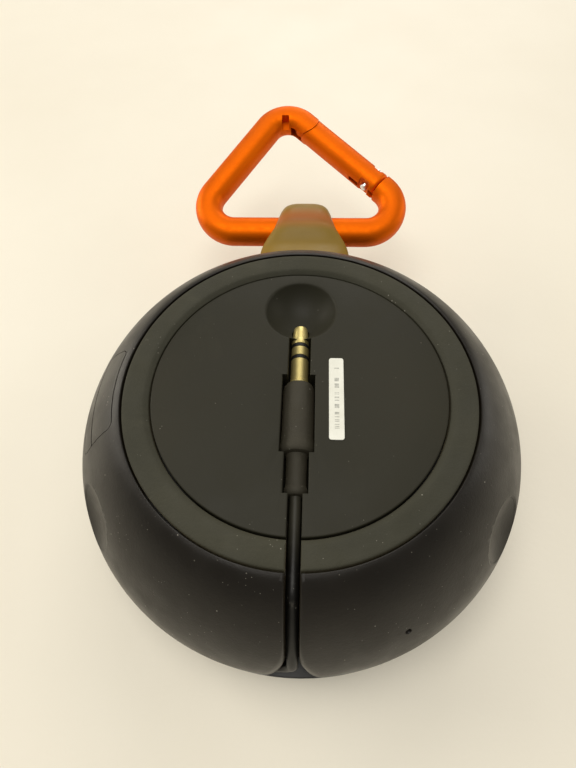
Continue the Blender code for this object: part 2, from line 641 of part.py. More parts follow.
# Catch at the nose: a thin tongue on the frame in a slot across the gate's end, and the steel pin behind it.
join(frame, in_hook(plate(gate_len - 1.4, gate_len + 1.6, -2.3, 2.3), -0.8, 0.8, "catch"))
cut(gate, in_hook(plate(gate_len - 2.0, gate_len + 2.0, -5, 5), -1.2, 1.2, "catch_slot"))
pin_s = gate_len - 3.7
cut(gate, rod("pin_hole", hook(*on_gate(pin_s, -6)), hook(*on_gate(pin_s, 6)), 1.08, 12))
for sign in (-1, 1):
    cut(gate, in_hook(plate(pin_s - 1.5, pin_s + 1.5, sign * 2.75, sign * 5.0), -5, 5, "notch"))
cut(gate, in_hook(plate(pin_s - 5.6, pin_s - 2.0, 1.6, 5.0), -0.75, 0.75, "relief_slot"))
rod("gate_latch_pin", hook(*on_gate(pin_s, -3.35)), hook(*on_gate(pin_s, 3.35)), 1.0, 12, STEEL)
rod("gate_pivot_pin", hook(pivot.x, pivot.y, -3.2), hook(pivot.x, pivot.y, 3.2), 1.0, 16, STEEL)
in_hook(plate(-9.1, -3.25, 0.35, 1.1), -0.6, 0.6, "gate_spring", STEEL)

# ---------------------------------------------------------------- front bezel and seal
bezel_outline = [(46.9, GROOVE_Z), (47.0, 13.6), (46.8, 10.0), (45.5, 6.3), (43.8, 4.5), (42.2, 4.0), (41.2, 4.6),
                 (41.2, 7.6), (42.0, 7.6), (42.0, 18.6), (GROOVE_R, 18.6), (GROOVE_R, 18.3), (43.0, 18.3), (43.0, 17.1),
                 (GROOVE_R, 17.1), (GROOVE_R, GROOVE_Z)]
revolve("front_bezel", bezel_outline, SEG_OUT, DARK_ABS)
revolve("seal_ring", [(43.15, 17.3), (43.8, 17.3), (43.8, 18.1), (43.15, 18.1)], SEG_OUT, RUBBER)

# ---------------------------------------------------------------- grille, cloth, badge
def cloth_z(r):
    return 1.3 + 3.2 * (max(r - 14.8, 0) / 26.1) ** 2


def shell(offset, thick, r_in, r_out, steps):
    low = [(r, cloth_z(r) + offset) for r in (r_in + (r_out - r_in) * i / steps for i in range(steps + 1))]
    return low + [(r, z + thick) for r, z in reversed(low)]


revolve("front_badge", [(0, 0), (BADGE_R - 0.4, 0), (BADGE_R, 0.35), (BADGE_R, 1.0), (0, 1.0)], 32, METAL_DARK)
cloth = shell(0, 0.5, 14.8, GRILLE_R, 3)
revolve("grille_fabric", [(0, 1.3)] + cloth + [(0, 1.8)], 36, CLOTH)
plate_line = shell(0.8, 1.0, 14.8, GRILLE_R, 2)
grille = revolve("grille", [(0, 2.1)] + plate_line + [(0, 3.1)], 32, METAL_DARK)
for radius, count, length in ((8.5, 4, 5.0), (20.0, 6, 7.0), (32.5, 10, 8.0)):
    for i in range(count):
        a = 2 * math.pi * (i + 0.5) / count
        c, s = math.cos(a), math.sin(a)
        cut(grille, prism("hole", [(radius - length / 2, -1.2), (radius + length / 2, -1.2), (radius + length / 2, 1.2),
                                   (radius - length / 2, 1.2)], -2, 12, lambda u, v, w: (u * c - v * s, u * s + v * c, w)))

# ---------------------------------------------------------------- baffle and driver
baffle = revolve("baffle", [(20.3, 7.9), (41.7, 7.9), (41.7, 10.3), (20.3, 10.3)], 32, DARK_ABS)
for sx in (-1, 1):
    for sy in (-1, 1):
        cut(baffle, rod("clear", (sx * POST_X, sy * POST_Y, 5), (sx * POST_X, sy * POST_Y, 14), 1.6, 12))
        screw = revolve("case_screw_" + {(-1, -1): "a", (1, -1): "b", (-1, 1): "c", (1, 1): "d"}[sx, sy],
                        [(0, 6.9), (0.9, 6.9), (0.9, 6.1), (2.3, 6.1), (2.5, 6.4), (2.5, 7.7), (1.2, 7.7), (1.2, 17.4),
                         (0.6, 18.2), (0, 18.2)], 8, STEEL)
        screw.location = (sx * POST_X / 1000, sy * POST_Y / 1000, 0)

basket = revolve("driver_basket", [(19.7, 6.5), (22.6, 6.5), (22.6, 7.6), (19.9, 7.6), (19.4, 9.0), (14.9, 13.0), (14.9, 16.4),
                                   (7.4, 16.4), (7.4, 15.4), (13.9, 15.4), (13.9, 12.4), (18.4, 8.4)], 24, METAL_DARK)
for i in range(4):
    a = math.radians(90 * i + 45)
    c, s = math.cos(a), math.sin(a)
    cut(basket, prism("window", [(12, -4.2), (24, -4.2), (24, 4.2), (12, 4.2)], 8.9, 12.6,
                      lambda u, v, w: (u * c - v * s, u * s + v * c, w)))
roll = [(15.3, 6.2)] + [(17.4 - 1.7 * math.cos(math.radians(a)), 6.1 - 1.5 * math.sin(math.radians(a))) for a in range(0, 181, 60)] + [(19.9, 6.2), (21.5, 6.2)]
revolve("surround", [(r, z - 0.35) for r, z in roll] + list(reversed(roll)), SEG_IN, RUBBER)
revolve("cone", [(15.0, 6.5), (15.0, 6.95), (7.1, 11.6), (6.75, 11.6), (6.75, 11.15)], SEG_IN, PULP)
revolve("dust_cap", [(0, 8.6), (3.0, 8.9), (5.4, 9.8), (6.4, 10.7), (6.4, 11.1), (5.2, 10.2), (3.0, 9.35), (0, 9.05)], SEG_IN, PULP)
revolve("voice_coil", [(6.0, 11.5), (6.45, 11.5), (6.45, 19.5), (6.0, 19.5)], SEG_IN, COPPER)
wave = [(6.85 + 6.8 * i / 4, 13.2 + (0.35 if i % 2 else -0.35)) for i in range(5)]
revolve("spider", wave + [(r, z + 0.35) for r, z in reversed(wave)], SEG_IN, PULP)
revolve("top_plate", [(7.0, 16.75), (11.6, 16.75), (11.6, 18.6), (7.0, 18.6)], SEG_IN, METAL_DARK)
revolve("magnet", [(7.8, 18.9), (12.0, 18.9), (12.0, 22.4), (7.8, 22.4)], SEG_IN, FERRITE)
revolve("yoke", [(0, 16.9), (5.1, 16.9), (5.5, 17.3), (5.5, 22.7), (11.5, 22.7), (11.8, 23.0), (11.8, 24.6), (0, 24.6)], 32,
        METAL_DARK)

# ---------------------------------------------------------------- chassis, board, battery
chassis = revolve("chassis", [(0, 26.0), (34.2, 26.0), (34.2, 27.4), (0, 27.4)], 28, DARK_ABS)
for tag, point, normal, around, down in KEYS:
    join(chassis, prism("key_back", [(-3.7, -3.8), (3.7, -3.8), (3.7, 3.8), (-3.7, 3.8)], -11.8, -9.45,
                        lambda u, v, w: point + around * u + down * v + normal * w))
for sx in (-1, 1):
    for sy in (-1, 1):
        join(chassis, rod("lug", (sx * POST_X, sy * POST_Y, 26.05), (sx * POST_X, sy * POST_Y, 27.35), 4.9, 10))
for sx in (-1, 1):
    for sy in (-1, 1):
        cut(chassis, rod("lug_hole", (sx * POST_X, sy * POST_Y, 20), (sx * POST_X, sy * POST_Y, 30), 3.05, 10))

prism("main_board", rounded(-20.8, 0, 21.4, 28.0, 2.5, 2), 33.2, 34.4, along_z, BOARD)
prism("usb_socket", rounded(-32.3, 0, 5.6, 7.6, 0.4, 1), 35.2, 38.0, along_z, STEEL)
cut(bpy.data.objects["usb_socket"], box("port", (-36.5, -3.3, 35.8), (-31.2, 3.3, 37.4)))
prism("battery", rounded(9.0, 0, 34.0, 32.0, 1.6, 2), 27.8, 32.5, along_z, CELL)
rod("microphone", mic_point - mic_normal * 3.9, mic_point - mic_normal * 5.3, 2.0, 16, METAL_DARK)

for thing in bpy.data.objects:
    if thing.type == "MESH" and not thing.data.materials:
        thing.data.materials.append(material(*DARK_ABS))
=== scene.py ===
"""Looks of the clip-on shower speaker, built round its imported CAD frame.

Numbers are millimetres in the CAD's own frame (origin on the round axis at the
plane the speaker lies on, +Y towards the snap hook, +Z out of the flat back);
meshes are written in metres.
"""

import json
import math

import bmesh
import bpy
from mathutils import Matrix, Vector


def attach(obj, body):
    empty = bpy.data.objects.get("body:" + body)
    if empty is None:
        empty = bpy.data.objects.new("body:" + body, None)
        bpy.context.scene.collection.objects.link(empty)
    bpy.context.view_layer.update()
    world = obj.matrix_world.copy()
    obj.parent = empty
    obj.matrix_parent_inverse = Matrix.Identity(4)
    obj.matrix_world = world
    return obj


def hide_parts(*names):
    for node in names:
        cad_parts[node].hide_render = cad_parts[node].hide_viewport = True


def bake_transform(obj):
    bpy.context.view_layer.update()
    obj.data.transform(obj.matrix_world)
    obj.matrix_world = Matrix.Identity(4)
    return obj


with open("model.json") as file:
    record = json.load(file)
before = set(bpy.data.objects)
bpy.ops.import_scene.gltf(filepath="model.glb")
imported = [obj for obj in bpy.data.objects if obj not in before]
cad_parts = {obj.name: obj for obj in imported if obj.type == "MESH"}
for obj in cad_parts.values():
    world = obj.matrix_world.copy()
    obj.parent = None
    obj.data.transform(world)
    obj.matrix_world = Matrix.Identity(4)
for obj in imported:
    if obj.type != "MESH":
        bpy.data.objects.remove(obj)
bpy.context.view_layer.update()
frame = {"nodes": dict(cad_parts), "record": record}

# ---------------------------------------------------------------- dimensions
BODY_R, EQUATOR_Z, BACK_Z, SHOULDER_R = 47.0, 18.66, 42.0, 33.2
RING_OUT, RING_IN, RING_LIP = 32.9, 28.0, 28.9
PANEL_R, PANEL_Z = 27.7, 41.5
SPLIT_Z, GROOVE_Z, GROOVE_R = 16.9, 14.0, 43.6
CABLE_R, CABLE_RIM_R, CABLE_RIM_Z = 1.05, 45.2, 15.42
PLUG_Z = 38.0
BOWL_Y, BOWL_R, BOWL_DEEP = 18.3, 7.2, 4.6
SLOT_W, SLOT_DEEP = 2.5, 4.7
KEY_AZ, KEY_R, KEY_HOLE_R = 30.0, 6.2, 6.25
FLAP_R0, FLAP_R1, FLAP_R2 = 34.9, 40.4, 43.2
FLAP_AZ, FLAP_HALF, FLAP_T = 180.8, 13.8, 1.2
MIC_AZ, MIC_HOLE_R = -63.9, 0.5
BADGE_R, GRILLE_R = 14.0, 40.8
BAR_Y, BAR_Z, HOOK_TILT = 57.8, 25.0, 16.6
HOOK_W, HOOK_T, BORE_R = 7.3, 6.9, 4.0
APEX, LEFT, RIGHT = (-5.6, 28.6, 6.7), (-19.1, 7.4, 7.4), (16.0, 7.4, 7.4)
NOSE_BACK = 0.9
SEAT_Z, GAP = 38.6, 0.3
SEG = 256


# ---------------------------------------------------------------- node graphs
class Graph:
    """A material's node tree, written as short calls."""

    def __init__(self, name):
        self.material = bpy.data.materials.new(name)
        self.material.use_nodes = True
        self.tree = self.material.node_tree
        self.shader = self.tree.nodes["Principled BSDF"]
        self.place = self.tree.nodes.new("ShaderNodeTexCoord").outputs["Object"]

    def put(self, socket, value):
        if isinstance(value, bpy.types.NodeSocket):
            self.tree.links.new(value, socket)
        elif isinstance(value, tuple) and len(value) == 3 and socket.type == "RGBA":
            socket.default_value = (*value, 1)
        else:
            socket.default_value = value

    def node(self, kind, out, values, **settings):
        made = self.tree.nodes.new(kind)
        for key, value in settings.items():
            setattr(made, key, value)
        for key, value in values.items():
            self.put(made.inputs[key], value)
        return made.outputs[out]

    def noise(self, scale, detail=3.0, rough=0.55, at=None):
        return self.node("ShaderNodeTexNoise", "Fac", {"Vector": at or self.place, "Scale": scale, "Detail": detail, "Roughness": rough})

    def voronoi(self, scale, feature="F1", at=None, jitter=1.0):
        return self.node("ShaderNodeTexVoronoi", "Distance", {"Vector": at or self.place, "Scale": scale, "Randomness": jitter}, feature=feature)

    def stretch(self, x, y, z, at=None, turn=(0.0, 0.0, 0.0)):
        return self.node("ShaderNodeMapping", "Vector", {"Vector": at or self.place, "Scale": (x, y, z), "Rotation": turn})

    def math(self, how, a, b=0.0, clamp=False):
        return self.node("ShaderNodeMath", "Value", {0: a, 1: b}, operation=how, use_clamp=clamp)

    def remap(self, value, low, high, to_low=0.0, to_high=1.0):
        return self.node("ShaderNodeMapRange", "Result", {"Value": value, "From Min": low, "From Max": high, "To Min": to_low, "To Max": to_high})

    def mix(self, factor, a, b):
        made = self.tree.nodes.new("ShaderNodeMix")
        made.data_type = "RGBA"
        self.put(made.inputs[0], factor)
        self.put(made.inputs[6], a)
        self.put(made.inputs[7], b)
        return made.outputs[2]

    def bump(self, height, distance, strength=1.0, under=None):
        values = {"Height": height, "Distance": distance, "Strength": strength}
        if under is not None:
            values["Normal"] = under
        return self.node("ShaderNodeBump", "Normal", values)

    def parts(self):
        split = self.tree.nodes.new("ShaderNodeSeparateXYZ")
        self.tree.links.new(self.place, split.inputs[0])
        return split.outputs

    def set(self, **values):
        names = {"colour": "Base Color", "rough": "Roughness", "metal": "Metallic", "normal": "Normal", "ior": "IOR",
                 "level": "Specular IOR Level", "sheen": "Sheen Weight", "sheen_rough": "Sheen Roughness",
                 "sheen_tint": "Sheen Tint", "coat": "Coat Weight", "coat_rough": "Coat Roughness"}
        for key, value in values.items():
            self.put(self.shader.inputs[names[key]], value)
        return self.material


def srgb(r, g, b):
    return tuple(c / 255 / 12.92 if c <= 10 else ((c / 255 + 0.055) / 1.055) ** 2.4 for c in (r, g, b))


def specks(g, scale, size, share, seed=0.0):
    """Sparse small dots: 1 on a dot, 0 elsewhere."""
    at = g.node("ShaderNodeVectorMath", "Vector", {0: g.place, 1: (seed, seed * 0.7, seed * 1.3)}, operation="ADD")
    near = g.voronoi(scale, at=at)
    dot = g.remap(near, size, size * 0.55)
    patch = g.noise(scale * 0.21, 2.0, 0.5, at=at)
    return g.math("MULTIPLY", dot, g.remap(patch, share, share + 0.05))


def rubber(name, dark, light, rough, grain, dust=True, sheen=0.0, scuffs=0.0, level=0.5, painted_bar_reflection=False, paler_stretch=None):
    """Moulded rubber: fine grain, cloudy colour, dust and faint rubbed patches."""
    g = Graph(name)
    cloud = g.noise(42.0, 4.0, 0.6)
    fine = g.noise(1500.0, 2.0, 0.6)
    colour = g.mix(g.remap(cloud, 0.3, 0.72), dark, light)
    roughness = g.remap(g.noise(160.0, 3.0), 0.3, 0.7, rough - 0.06, rough + 0.07)
    height = g.math("ADD", g.math("MULTIPLY", fine, 0.6), g.math("MULTIPLY", g.noise(4200.0, 1.0), 0.4))
    if scuffs:
        streak = g.noise(55.0, 5.0, 0.7, at=g.stretch(1.0, 2.6, 1.7))
        worn = g.remap(streak, 0.60, 0.74, 0.0, scuffs)
        colour = g.mix(worn, colour, tuple(min(1.0, c * 2.6 + 0.012) for c in light))
        roughness = g.math("ADD", roughness, g.math("MULTIPLY", worn, 0.12))
    if dust:
        dots = g.math("MAXIMUM", specks(g, 520.0, 0.075, 0.50), specks(g, 1050.0, 0.085, 0.52, 3.1))
        colour = g.mix(g.math("MULTIPLY", dots, 0.5), colour, (0.42, 0.40, 0.34))
    if painted_bar_reflection:  # painted reflection: a reddish band of the orange bar's light, painted into the loop's colour over the bar
        x, y, z = g.parts()
        band = g.math("ABSOLUTE", g.math("SUBTRACT", y, 0.0562))
        colour = g.mix(g.math("MULTIPLY", g.remap(band, 0.0036, 0.0004), 0.5), colour, srgb(178, 84, 44))
    if paler_stretch:  # paler towards one end: the colour blends to a lighter tone between two heights along Y
        x, y, z = g.parts()
        colour = g.mix(g.remap(y, paler_stretch[0], paler_stretch[1]), colour, paler_stretch[2])
    g.set(colour=colour, rough=roughness, normal=g.bump(height, grain), level=level)
    if sheen:
        g.set(sheen=sheen, sheen_rough=0.45, sheen_tint=srgb(214, 196, 150))
    return g.material


def metal(name, tint, deep, rough, polish=1.0, grain=0.00002, way=(1.0, 1.0, 1.0), coat=0.0, level=0.5):
    """Metal with fine directional marks and slight colour drift."""
    g = Graph(name)
    drift = g.noise(70.0, 3.0)
    marks = g.noise(900.0, 3.0, 0.6, at=g.stretch(*way))
    roughness = g.math("ADD", g.remap(marks, 0.3, 0.7, rough - 0.05, rough + 0.06), g.remap(drift, 0.3, 0.7, -0.02, 0.03))
    height = g.math("ADD", g.math("MULTIPLY", marks, 0.7), g.math("MULTIPLY", g.noise(2600.0, 2.0), 0.3))
    g.set(colour=g.mix(g.remap(drift, 0.3, 0.72), deep, tint), rough=roughness, metal=polish, normal=g.bump(height, grain), level=level)
    if coat:
        g.set(coat=coat, coat_rough=0.16)
    return g.material


def plastic(name, dark, light, rough, grain=0.00003, dust=False, level=0.4):
    g = Graph(name)
    cloud = g.noise(30.0, 4.0, 0.55)
    colour = g.mix(g.remap(cloud, 0.28, 0.74), dark, light)
    height = g.math("ADD", g.math("MULTIPLY", g.noise(2200.0, 2.0), 0.6), g.math("MULTIPLY", g.voronoi(3400.0), 0.4))
    roughness = g.remap(g.noise(120.0, 4.0), 0.3, 0.7, rough - 0.05, rough + 0.06)
    if dust:
        dots = g.math("MAXIMUM", specks(g, 330.0, 0.040, 0.52), specks(g, 900.0, 0.075, 0.58, 5.3))
        faint = g.remap(g.noise(30.0, 6.0, 0.75, at=g.stretch(1.6, 0.7, 1.0, turn=(0, 0, 0.6))), 0.58, 0.76, 0.0, 0.22)
        colour = g.mix(faint, colour, tuple(c * 1.9 for c in light))
        colour = g.mix(g.math("MULTIPLY", dots, 0.5), colour, (0.45, 0.43, 0.36))
    g.set(colour=colour, rough=roughness, normal=g.bump(height, grain), level=level)
    return g.material


def cloth(name, dark, light):
    """Plain-woven knit over the grille."""
    g = Graph(name)
    x = g.node("ShaderNodeTexWave", "Fac", {"Vector": g.stretch(1, 1, 1), "Scale": 190.0, "Distortion": 0.4, "Detail": 1.0},
               wave_type="BANDS", bands_direction="X", wave_profile="SIN")
    y = g.node("ShaderNodeTexWave", "Fac", {"Vector": g.stretch(1, 1, 1), "Scale": 190.0, "Distortion": 0.4, "Detail": 1.0},
               wave_type="BANDS", bands_direction="Y", wave_profile="SIN")
    weave = g.math("MAXIMUM", x, y)
    fuzz = g.noise(2400.0, 3.0, 0.7)
    colour = g.mix(g.math("MULTIPLY", weave, g.remap(fuzz, 0.2, 0.8, 0.5, 1.0)), dark, light)
    g.set(colour=colour, rough=g.remap(fuzz, 0.2, 0.8, 0.82, 0.95), sheen=0.25, sheen_rough=0.5,
          normal=g.bump(g.math("ADD", weave, g.math("MULTIPLY", fuzz, 0.4)), 0.00018))
    return g.material


def label_film(name):
    """White label film with one row of plain grey bars."""
    g = Graph(name)
    x, y, z = g.parts()
    stain = g.noise(260.0, 4.0, 0.6)
    paper = g.mix(g.remap(stain, 0.25, 0.75), srgb(214, 214, 202), srgb(232, 233, 224))
    along = g.math("MULTIPLY", y, 900.0)
    beat = g.node("ShaderNodeTexNoise", "Fac", {"W": along, "Scale": 1.0, "Detail": 2.0, "Roughness": 0.8}, noise_dimensions="1D")
    bars = g.math("GREATER_THAN", beat, 0.52)
    inside = g.math("MULTIPLY", g.math("LESS_THAN", g.math("ABSOLUTE", g.math("SUBTRACT", x, 0.00712)), 0.00042),
                    g.math("LESS_THAN", g.math("ABSOLUTE", g.math("SUBTRACT", y, -0.0021)), 0.0066))
    ink = g.math("MULTIPLY", g.math("MULTIPLY", bars, inside), g.remap(g.noise(1900.0, 2.0), 0.3, 0.6, 0.25, 0.62))
    g.set(colour=g.mix(ink, paper, srgb(96, 98, 92)), rough=g.remap(stain, 0.3, 0.7, 0.42, 0.55),
          normal=g.bump(g.noise(1300.0, 2.0), 0.00001))
    return g.material


def circuit(name):
    g = Graph(name)
    lines = g.voronoi(320.0, "DISTANCE_TO_EDGE", jitter=0.6)
    track = g.remap(lines, 0.03, 0.05, 1.0, 0.0)
    g.set(colour=g.mix(track, srgb(22, 78, 42), srgb(46, 112, 66)), rough=g.remap(g.noise(300.0), 0.3, 0.7, 0.35, 0.5),
          normal=g.bump(track, 0.00003))
    return g.material


LOOKS = {
    "rubber": rubber("rubber", srgb(15, 12, 8), srgb(22, 18, 12), 0.40, 0.000035, sheen=0.03, scuffs=0.05, level=0.30),
    "ring_rubber": rubber("ring_rubber", srgb(46, 46, 36), srgb(58, 57, 45), 0.74, 0.00012, sheen=0.10, scuffs=0.10, level=0.30),
    "panel_plastic": plastic("panel_plastic", srgb(36, 35, 25), srgb(43, 41, 30), 0.56, 0.00002, dust=True, level=0.22),
    "dark_plastic": plastic("dark_plastic", srgb(21, 21, 21), srgb(28, 27, 26), 0.46),
    "orange_anodised": metal("orange_anodised", srgb(226, 104, 1), srgb(217, 95, 1), 0.50, 0.74, 0.000006, level=0.10),
    "steel": metal("steel", srgb(246, 246, 244), srgb(230, 230, 230), 0.30, 1.0),
    "gold_plate": metal("gold_plate", srgb(228, 212, 146), srgb(216, 198, 128), 0.40, 0.86, 0.000003, (1.0, 6.0, 1.0)),
    # loop_rubber carries a painted reflection of the orange bar as a reddish band
    "loop_rubber": rubber("loop_rubber", srgb(116, 93, 28), srgb(132, 105, 34), 0.46, 0.00004, dust=False, level=0.3, painted_bar_reflection=True),
    "cable_rubber": rubber("cable_rubber", srgb(12, 11, 10), srgb(18, 17, 15), 0.42, 0.00003, dust=True, level=0.3),
    "lead_rubber": rubber("lead_rubber", srgb(12, 11, 10), srgb(18, 17, 15), 0.46, 0.00003, dust=True, level=0.3,
                          paler_stretch=(-0.032, -0.024, srgb(52, 50, 41))),
    "plug_rubber": rubber("plug_rubber", srgb(46, 43, 34), srgb(60, 57, 46), 0.70, 0.00010, dust=True, sheen=0.06, scuffs=0.25, level=0.3),
    "label_paper": label_film("label_paper"),
    "grille_cloth": cloth("grille_cloth", srgb(14, 14, 15), srgb(52, 52, 54)),
    "dark_steel": metal("dark_steel", srgb(96, 96, 100), srgb(74, 74, 78), 0.36, 0.95),
    "board_green": circuit("board_green"),
    "cell_foil": metal("cell_foil", srgb(172, 176, 182), srgb(150, 154, 160), 0.42, 0.6, 0.00006),
    "ferrite": plastic("ferrite", srgb(46, 44, 46), srgb(60, 58, 60), 0.62, 0.00012),
    "cone_paper": rubber("cone_paper", srgb(30, 30, 32), srgb(44, 44, 46), 0.8, 0.0002, dust=False),
    "copper": metal("copper", srgb(196, 118, 68), srgb(168, 94, 50), 0.34, 1.0, 0.00005, (1.0, 1.0, 9.0)),
    "slot_orange": metal("slot_orange", srgb(176, 62, 4), srgb(140, 42, 2), 0.5, 0.6, 0.00002),
}

for part in frame["record"]["subparts"]:
    node = frame["nodes"].get(part["node"])
    if node is not None:
        node.data.materials.clear()
        node.data.materials.append(LOOKS[part["material_slot"]])

SLOT_OF = {part["node"]: part["material_slot"] for part in frame["record"]["subparts"]}
BODY_OF = {node: body for body, nodes in frame["record"]["behaviour"]["bodies"].items() for node in nodes}


def dress(piece, nodes, look=None, body=None):
    """Rides the piece on its body, lets it stand for the CAD nodes and gives it its finish."""
    nodes = (nodes,) if isinstance(nodes, str) else nodes
    slot = SLOT_OF[nodes[0]]
    piece.data.materials.clear()
    piece.data.materials.append(LOOKS[look or slot])
    for polygon in piece.data.polygons:
        polygon.material_index = 0
    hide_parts(*nodes)
    if body is not False:
        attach(piece, body or BODY_OF[nodes[0]])
    return piece


# ---------------------------------------------------------------- mesh tools
def finish(name, bm, sharp=30):
    bmesh.ops.remove_doubles(bm, verts=bm.verts, dist=1e-7)
    bmesh.ops.recalc_face_normals(bm, faces=bm.faces)
    limit = math.radians(sharp)
    for face in bm.faces:
        face.smooth = True
    for edge in bm.edges:
        edge.smooth = len(edge.link_faces) == 2 and edge.calc_face_angle(0) < limit
    mesh = bpy.data.meshes.new(name)
    bm.to_mesh(mesh)
    bm.free()
    thing = bpy.data.objects.new(name, mesh)
    bpy.context.collection.objects.link(thing)
    return thing


def revolve(name, profile, segments=SEG, sharp=30):
    bm = bmesh.new()
    rings = []
    for r, z in profile:
        if r < 1e-6:
            rings.append([bm.verts.new((0, 0, z / 1000))])
        else:
            rings.append([bm.verts.new((r * math.cos(a) / 1000, r * math.sin(a) / 1000, z / 1000))
                          for a in (2 * math.pi * (i + 0.5) / segments for i in range(segments))])
    for low, high in zip(rings, rings[1:] + rings[:1]):
        if len(low) == 1 and len(high) == 1:
            continue
        for i in range(segments):
            j = (i + 1) % segments
            if len(low) == 1:
                bm.faces.new((low[0], high[i], high[j]))
            elif len(high) == 1:
                bm.faces.new((low[i], low[j], high[0]))
            else:
                bm.faces.new((low[i], low[j], high[j], high[i]))
    return finish(name, bm, sharp)


def prism(name, outline, low, high, place, sharp=30):
    bm = bmesh.new()
    ends = [[bm.verts.new(Vector(place(u, v, w)) / 1000) for u, v in outline] for w in (low, high)]
    bm.faces.new(ends[0])
    bm.faces.new(ends[1])
    for i in range(len(outline)):
        j = (i + 1) % len(outline)
        bm.faces.new((ends[0][i], ends[0][j], ends[1][j], ends[1][i]))
    bm.normal_update()
    bmesh.ops.triangulate(bm, faces=[f for f in bm.faces if len(f.verts) > 4])
    return finish(name, bm, sharp)


def loft(name, rings, sharp=30, caps=True):
    """Closed rings of points joined in order; ends capped."""
    bm = bmesh.new()
    made = [[bm.verts.new(Vector(p) / 1000) for p in ring] for ring in rings]
    for low, high in zip(made, made[1:]):
        for i in range(len(low)):
            j = (i + 1) % len(low)
            bm.faces.new((low[i], low[j], high[j], high[i]))
    if caps:
        bm.faces.new(made[0])
        bm.faces.new(made[-1])
        bm.normal_update()
        bmesh.ops.triangulate(bm, faces=[f for f in bm.faces if len(f.verts) > 4])
    return finish(name, bm, sharp)


def along_z(u, v, w):
    return (u, v, w)


def along_x(u, v, w):
    return (w, u, v)


def along_y(u, v, w):
    return (u, w, v)


def box(name, low, high):
    return prism(name, [(low[0], low[1]), (high[0], low[1]), (high[0], high[1]), (low[0], high[1])], low[2], high[2], along_z)


def rounded(cx, cy, w, h, r, steps=8):
    points = []
    for sx, sy, start in ((1, 1, 0), (-1, 1, 90), (-1, -1, 180), (1, -1, 270)):
        for i in range(steps + 1):
            a = math.radians(start + 90 * i / steps)
            points.append((cx + sx * (w / 2 - r) + r * math.cos(a), cy + sy * (h / 2 - r) + r * math.sin(a)))
    return points


def disc(cx, cy, r, steps):
    return [(cx + r * math.cos(2 * math.pi * i / steps), cy + r * math.sin(2 * math.pi * i / steps)) for i in range(steps)]


def rod(name, start, end, r, steps=48):
    start, end = Vector(start), Vector(end)
    axis = (end - start).normalized()
    side = axis.orthogonal().normalized()
    other = axis.cross(side)
    return prism(name, disc(0, 0, r, steps), 0, (end - start).length, lambda u, v, w: start + side * u + other * v + axis * w)


def spun(name, start, axis, profile, steps=64):
    """Round piece on any axis; profile is (radius, distance along the axis), from axis to axis."""
    start, axis = Vector(start), Vector(axis).normalized()
    side = axis.orthogonal().normalized()
    other = axis.cross(side)
    bm = bmesh.new()
    rings = []
    for r, w in profile:
        if r < 1e-6:
            rings.append([bm.verts.new((start + axis * w) / 1000)])
        else:
            rings.append([bm.verts.new((start + side * r * math.cos(a) + other * r * math.sin(a) + axis * w) / 1000)
                          for a in (2 * math.pi * i / steps for i in range(steps))])
    for low, high in zip(rings, rings[1:]):
        for i in range(steps):
            j = (i + 1) % steps
            if len(low) == 1:
                bm.faces.new((low[0], high[i], high[j]))
            elif len(high) == 1:
                bm.faces.new((low[i], low[j], high[0]))
            else:
                bm.faces.new((low[i], low[j], high[j], high[i]))
    return finish(name, bm)


def sweep(name, path, section, up, sharp=30):
    bm = bmesh.new()
    rings = []
    for i, here in enumerate(path):
        back, ahead = path[max(i - 1, 0)], path[min(i + 1, len(path) - 1)]
        along = (Vector(ahead) - Vector(back)).normalized()
        second = Vector(up(i))
        across = along.cross(second).normalized()
        second = across.cross(along).normalized()
        rings.append([bm.verts.new((Vector(here) + across * a + second * b) / 1000) for a, b in section(i)])
    for low, high in zip(rings, rings[1:]):
        for i in range(len(low)):
            j = (i + 1) % len(low)
            bm.faces.new((low[i], low[j], high[j], high[i]))
    bm.faces.new(rings[0])
    bm.faces.new(rings[-1])
    bm.normal_update()
    bmesh.ops.triangulate(bm, faces=[f for f in bm.faces if len(f.verts) > 4])
    return finish(name, bm, sharp)


def volume(mesh):
    bm = bmesh.new()
    bm.from_mesh(mesh)
    found = bm.calc_volume(signed=True)
    bm.free()
    return found


def sound(bm, how, first, second):
    low, high = {"DIFFERENCE": (first - second, first), "UNION": (max(first, second), first + second),
                 "INTERSECT": (0, min(first, second))}[how]
    size = bm.calc_volume(signed=True) if bm.faces else -1
    slack = 1e-4 * max(first, second)
    return all(edge.is_manifold for edge in bm.edges) and low - slack <= size <= high + slack and size > 0


def combine(target, tool, how, keep=False):
    limit = math.radians(30)
    sizes = volume(target.data), volume(tool.data)
    for solver in ("EXACT", "MANIFOLD", "EXACT"):
        modifier = target.modifiers.new(how.lower(), "BOOLEAN")
        modifier.operation, modifier.solver, modifier.object = how, solver, tool
        bpy.context.view_layer.update()
        result = bpy.data.meshes.new_from_object(target.evaluated_get(bpy.context.evaluated_depsgraph_get()))
        target.modifiers.clear()
        bm = bmesh.new()
        bm.from_mesh(result)
        bmesh.ops.remove_doubles(bm, verts=bm.verts, dist=1e-7)
        bmesh.ops.dissolve_degenerate(bm, edges=bm.edges, dist=1e-7)
        if sound(bm, how, *sizes):
            break
    else:
        print("wrong boolean:", target.name, how, tool.name)
    for face in bm.faces:
        face.smooth = True
        face.material_index = 0
    for edge in bm.edges:
        edge.smooth = len(edge.link_faces) == 2 and edge.calc_face_angle(0) < limit
    bm.to_mesh(result)
    bm.free()
    result.materials.clear()
    old = target.data
    target.data = result
    bpy.data.meshes.remove(old)
    if not keep:
        bpy.data.objects.remove(tool, do_unlink=True)
    return target


def cut(target, tool, keep=False):
    return combine(target, tool, "DIFFERENCE", keep)


def join(target, tool, keep=False):
    return combine(target, tool, "UNION", keep)


def common(target, tool, keep=False):
    return combine(target, tool, "INTERSECT", keep)


